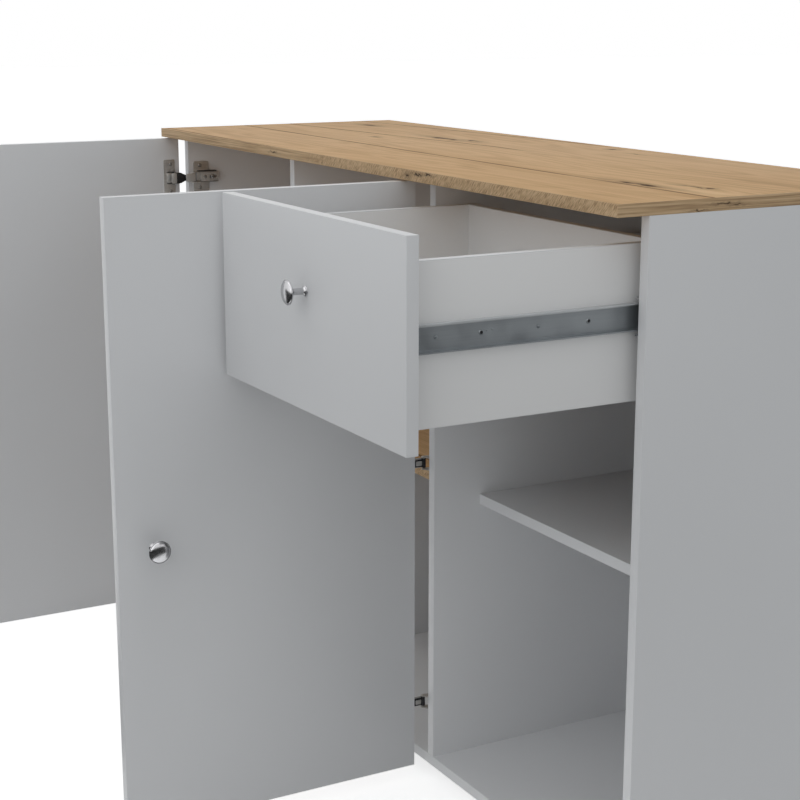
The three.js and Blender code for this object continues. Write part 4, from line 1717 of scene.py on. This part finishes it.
    def build_cage(self, frame: Matrix) -> None:
        """Make the ball cage and its two rows of balls.

        Args:
            frame: Frame of the slide.
        """
        node, body = f"slide_cage_{self.side}", f"ball_cage_{self.side}"
        low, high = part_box(node)
        near, far = sorted((frame.inverted() @ corner).z for corner in (low, high))
        reach, web = (high.z - low.z) / 2, self.cage_sheet
        outline = mirrored([(reach, near), (reach, far), (reach - web, far), (reach - web, near + web)], 0)
        strip = Mold().prism(rounded_path(outline, 0.5 * MM, 3), frame @ ENDWAYS, low.y, high.y)
        show(f"{node}_strip", strip.solid("cage"), SLIDE_STEEL, body, node)
        balls = Mold()
        row = (self.height / 2 - self.sheet + self.inner_height / 2) / 2 - 0.1 * MM
        pitch = (high.y - low.y) / self.balls
        for along in (low.y + pitch * (number + 0.5) for number in range(self.balls)):
            for side in (-1, 1):
                balls.ball(frame @ Vector((along, side * row, (near + far) / 2 + 0.8 * MM)), self.ball)
        show(f"slide_balls_{self.side}", balls.solid("balls"), BALL_STEEL, body)


@dataclass(frozen=True)
class Drawer:
    """The drawer: its front, box, knob and slides."""

    knob_hole: float = 2.5 * MM
    groove: float = 6.0 * MM
    groove_gap: float = 0.25 * MM
    groove_over: float = 5.0 * MM

    def side_board(self, side: str, inner: Side) -> Board:
        """A drawer side with its groove for the bottom.

        Args:
            side: left or right.
            inner: The side of the board that faces into the drawer.

        Returns:
            The board.
        """
        low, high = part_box(f"drawer_side_{side}")
        bottom_low, bottom_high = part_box("drawer_bottom")
        face, over = inner.of(low, high), self.groove_over
        across = sorted((face - inner.sign * self.groove, face + inner.sign * over))
        groove_low = Vector((across[0], low.y - over, bottom_low.z - self.groove_gap))
        groove_high = Vector((across[1], high.y + over, bottom_high.z + self.groove_gap))
        bands, grooves = (Side.BACK, Side.TOP, Side.UNDER), ((groove_low, groove_high),)
        return Board(f"drawer_side_{side}", "drawer", bands, DRAWER_WHITE, grooves=grooves)

    def build(self) -> None:
        """Make the drawer and its slides."""
        bore = Bore("drawer_knob", Side.BACK, self.knob_hole, 20 * MM)
        bands = (Side.LEFT, Side.RIGHT, Side.UNDER, Side.TOP)
        Board("drawer_front", "drawer", bands, bores=(bore,)).build()
        self.side_board("left", Side.RIGHT).build()
        self.side_board("right", Side.LEFT).build()
        Board("drawer_back", "drawer", (Side.TOP,), DRAWER_WHITE).build()
        thin = {"band_thickness": 0.5 * MM, "band_ease": 0.2 * MM}
        Board("drawer_bottom", "drawer", (Side.BACK,), DRAWER_WHITE, **thin).build()
        Knob("drawer_knob", "drawer", Side.FRONT).build()
        Slide("left", Side.RIGHT).build()
        Slide("right", Side.LEFT).build()


# --------------------------------------------------------------------------------------- studio


def stand(name: str, data: bpy.types.ID) -> bpy.types.Object:
    """Put a lamp, a camera or a mesh of the studio into the scene.

    Args:
        name: Its name.
        data: The lamp, the camera or the mesh.

    Returns:
        The object that stands in the scene.
    """
    item = bpy.data.objects.new(name, data)
    bpy.context.scene.collection.objects.link(item)
    return item


@dataclass(frozen=True)
class Lamp:
    """A square lamp that points at a spot."""

    name: str
    place: Place
    aim: Place
    size: float
    power: float
    spread: float = 180.0

    def build(self) -> None:
        """Hang the lamp."""
        light = bpy.data.lights.new(self.name, "AREA")
        light.shape = "SQUARE"
        light.size = self.size
        light.energy = self.power
        light.spread = math.radians(self.spread)
        lamp = stand(self.name, light)
        lamp.location = self.place
        lamp.rotation_euler = (Vector(self.aim) - Vector(self.place)).to_track_quat("-Z", "Y").to_euler()
        lamp.visible_camera = False


@dataclass(frozen=True)
class Studio:
    """The floor, the surrounding light and the camera at the photograph's viewing angle."""

    sky: float = 0.39
    sky_colour: Colour = (0.96, 0.985, 1.0)
    floor_size: float = 60.0
    floor_colour: Colour = (0.86, 0.86, 0.86)
    floor_lift: float = 0.66
    card_colours: tuple[Colour, Colour] = ((0.02, 0.02, 0.02), (0.03, 0.03, 0.03))
    card_steps: int = 24
    card_near: float = 1.3
    card_narrowing: float = 0.8
    card_reach: float = 2.5
    card_from: float = -130.0
    card_to: float = 28.0
    card_top: float = 0.72
    lens: float = 75.59
    sensor: float = 36.0
    camera_place: Place = (2.1879, -1.1177, 1.1086)
    camera_down: float = 13.128
    camera_turn: float = 61.012
    lamps: tuple[Lamp, ...] = (
        Lamp("lamp_overhead", (0.2, -0.6, 3.6), (0.0, 0.1, 0.6), 3.2, 22.5),
        Lamp("lamp_front_left", (-0.6, -4.2, 1.9), (0.1, 0.0, 0.5), 2.6, 4.0),
        Lamp("lamp_front_right", (2.2, -3.0, 2.6), (0.3, 0.0, 0.6), 2.6, 15.2),
        Lamp("lamp_bay", (0.55, -1.1, 0.52), (0.47, 0.2, 0.08), 0.35, 0.12, 50.0),
    )

    def build(self) -> None:
        """Set up the studio."""
        self.build_camera()
        self.build_floor()
        self.build_card()
        self.build_world()
        for lamp in self.lamps:
            lamp.build()
        bpy.context.scene.view_settings.view_transform = "Standard"

    def build_camera(self) -> None:
        """Place the camera."""
        data = bpy.data.cameras.new("camera")
        data.lens = self.lens
        data.sensor_width = self.sensor
        data.clip_end = 200.0
        camera = stand("camera", data)
        camera.location = self.camera_place
        camera.rotation_euler = (math.radians(90 - self.camera_down), 0.0, math.radians(self.camera_turn))
        bpy.context.scene.camera = camera

    def build_floor(self) -> None:
        """Lay the floor, which shows white where it is lit and keeps the unit's shadow."""
        graph = Graph("studio_floor")
        grain = graph.noise(graph.coordinates(), 40.0, 3.0)
        pale = tuple(c * 0.985 for c in self.floor_colour)
        graph.set("Base Color", graph.blend(grain, pale, self.floor_colour))
        graph.set("Roughness", 0.85)
        graph.set("Specular IOR Level", 0.1)
        graph.set("Emission Color", (1.0, 1.0, 1.0))
        graph.set("Emission Strength", graph.math("MULTIPLY", graph.seen(), self.floor_lift))
        half = self.floor_size / 2
        mesh = bpy.data.meshes.new("studio_floor")
        corners = [(-half, -half, 0), (half, -half, 0), (half, half, 0), (-half, half, 0)]
        mesh.from_pydata(corners, [], [(0, 1, 2, 3)])
        mesh.materials.append(graph.material)
        stand("studio_floor", mesh)

    def build_card(self) -> None:
        """Stand a curved black card in front of the unit, which only bright metal reflects."""
        graph = Graph("black_card")
        graph.set("Base Color", graph.blend(graph.noise(graph.coordinates(), 6.0), *self.card_colours))
        graph.set("Roughness", 0.9)
        points = []
        for t in (step / self.card_steps for step in range(self.card_steps + 1)):
            angle = math.radians(self.card_from + (self.card_to - self.card_from) * t)
            x, y = math.cos(angle), math.sin(angle)
            near = self.card_near * (1.0 - self.card_narrowing * (1.0 - t))
            points.append((x * near, y * near, 0.01))
            points += [(x * self.card_reach, y * self.card_reach, z) for z in (0.02, self.card_top)]
        firsts = [3 * step + row for step in range(self.card_steps) for row in (0, 1)]
        mesh = bpy.data.meshes.new("black_card")
        mesh.from_pydata(points, [], [(first, first + 3, first + 4, first + 1) for first in firsts])
        mesh.materials.append(graph.material)
        card = stand("black_card", mesh)
        card.visible_camera = False
        card.visible_diffuse = False
        card.visible_shadow = False

    def build_world(self) -> None:
        """Surround the unit with soft light, and with white where a ray sees the background."""
        world = bpy.data.worlds.new("studio")
        world.use_nodes = True
        bpy.context.scene.world = world
        nodes = Nodes(world.node_tree)
        soft = nodes.node("Background", {"Color": self.sky_colour, "Strength": self.sky})
        white = nodes.node("Background", {"Color": (1.0, 1.0, 1.0), "Strength": 1.0})
        mix = nodes.node("MixShader", {0: nodes.seen(), 1: soft.outputs[0], 2: white.outputs[0]})
        nodes.node("OutputWorld", {"Surface": mix.outputs[0]})


# ----------------------------------------------------------------------------------------- main


def main() -> None:
    """Load the frame and build the island unit round it."""
    logging.basicConfig(level=logging.INFO, format="%(name)s %(message)s")
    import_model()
    Studio().build()
    Carcass().build()
    Door("left", Side.RIGHT).build()
    Door("right", Side.LEFT).build()
    Drawer().build()
    bpy.data.meshes.remove(Screw().head())


if __name__ == "__main__":
    main()
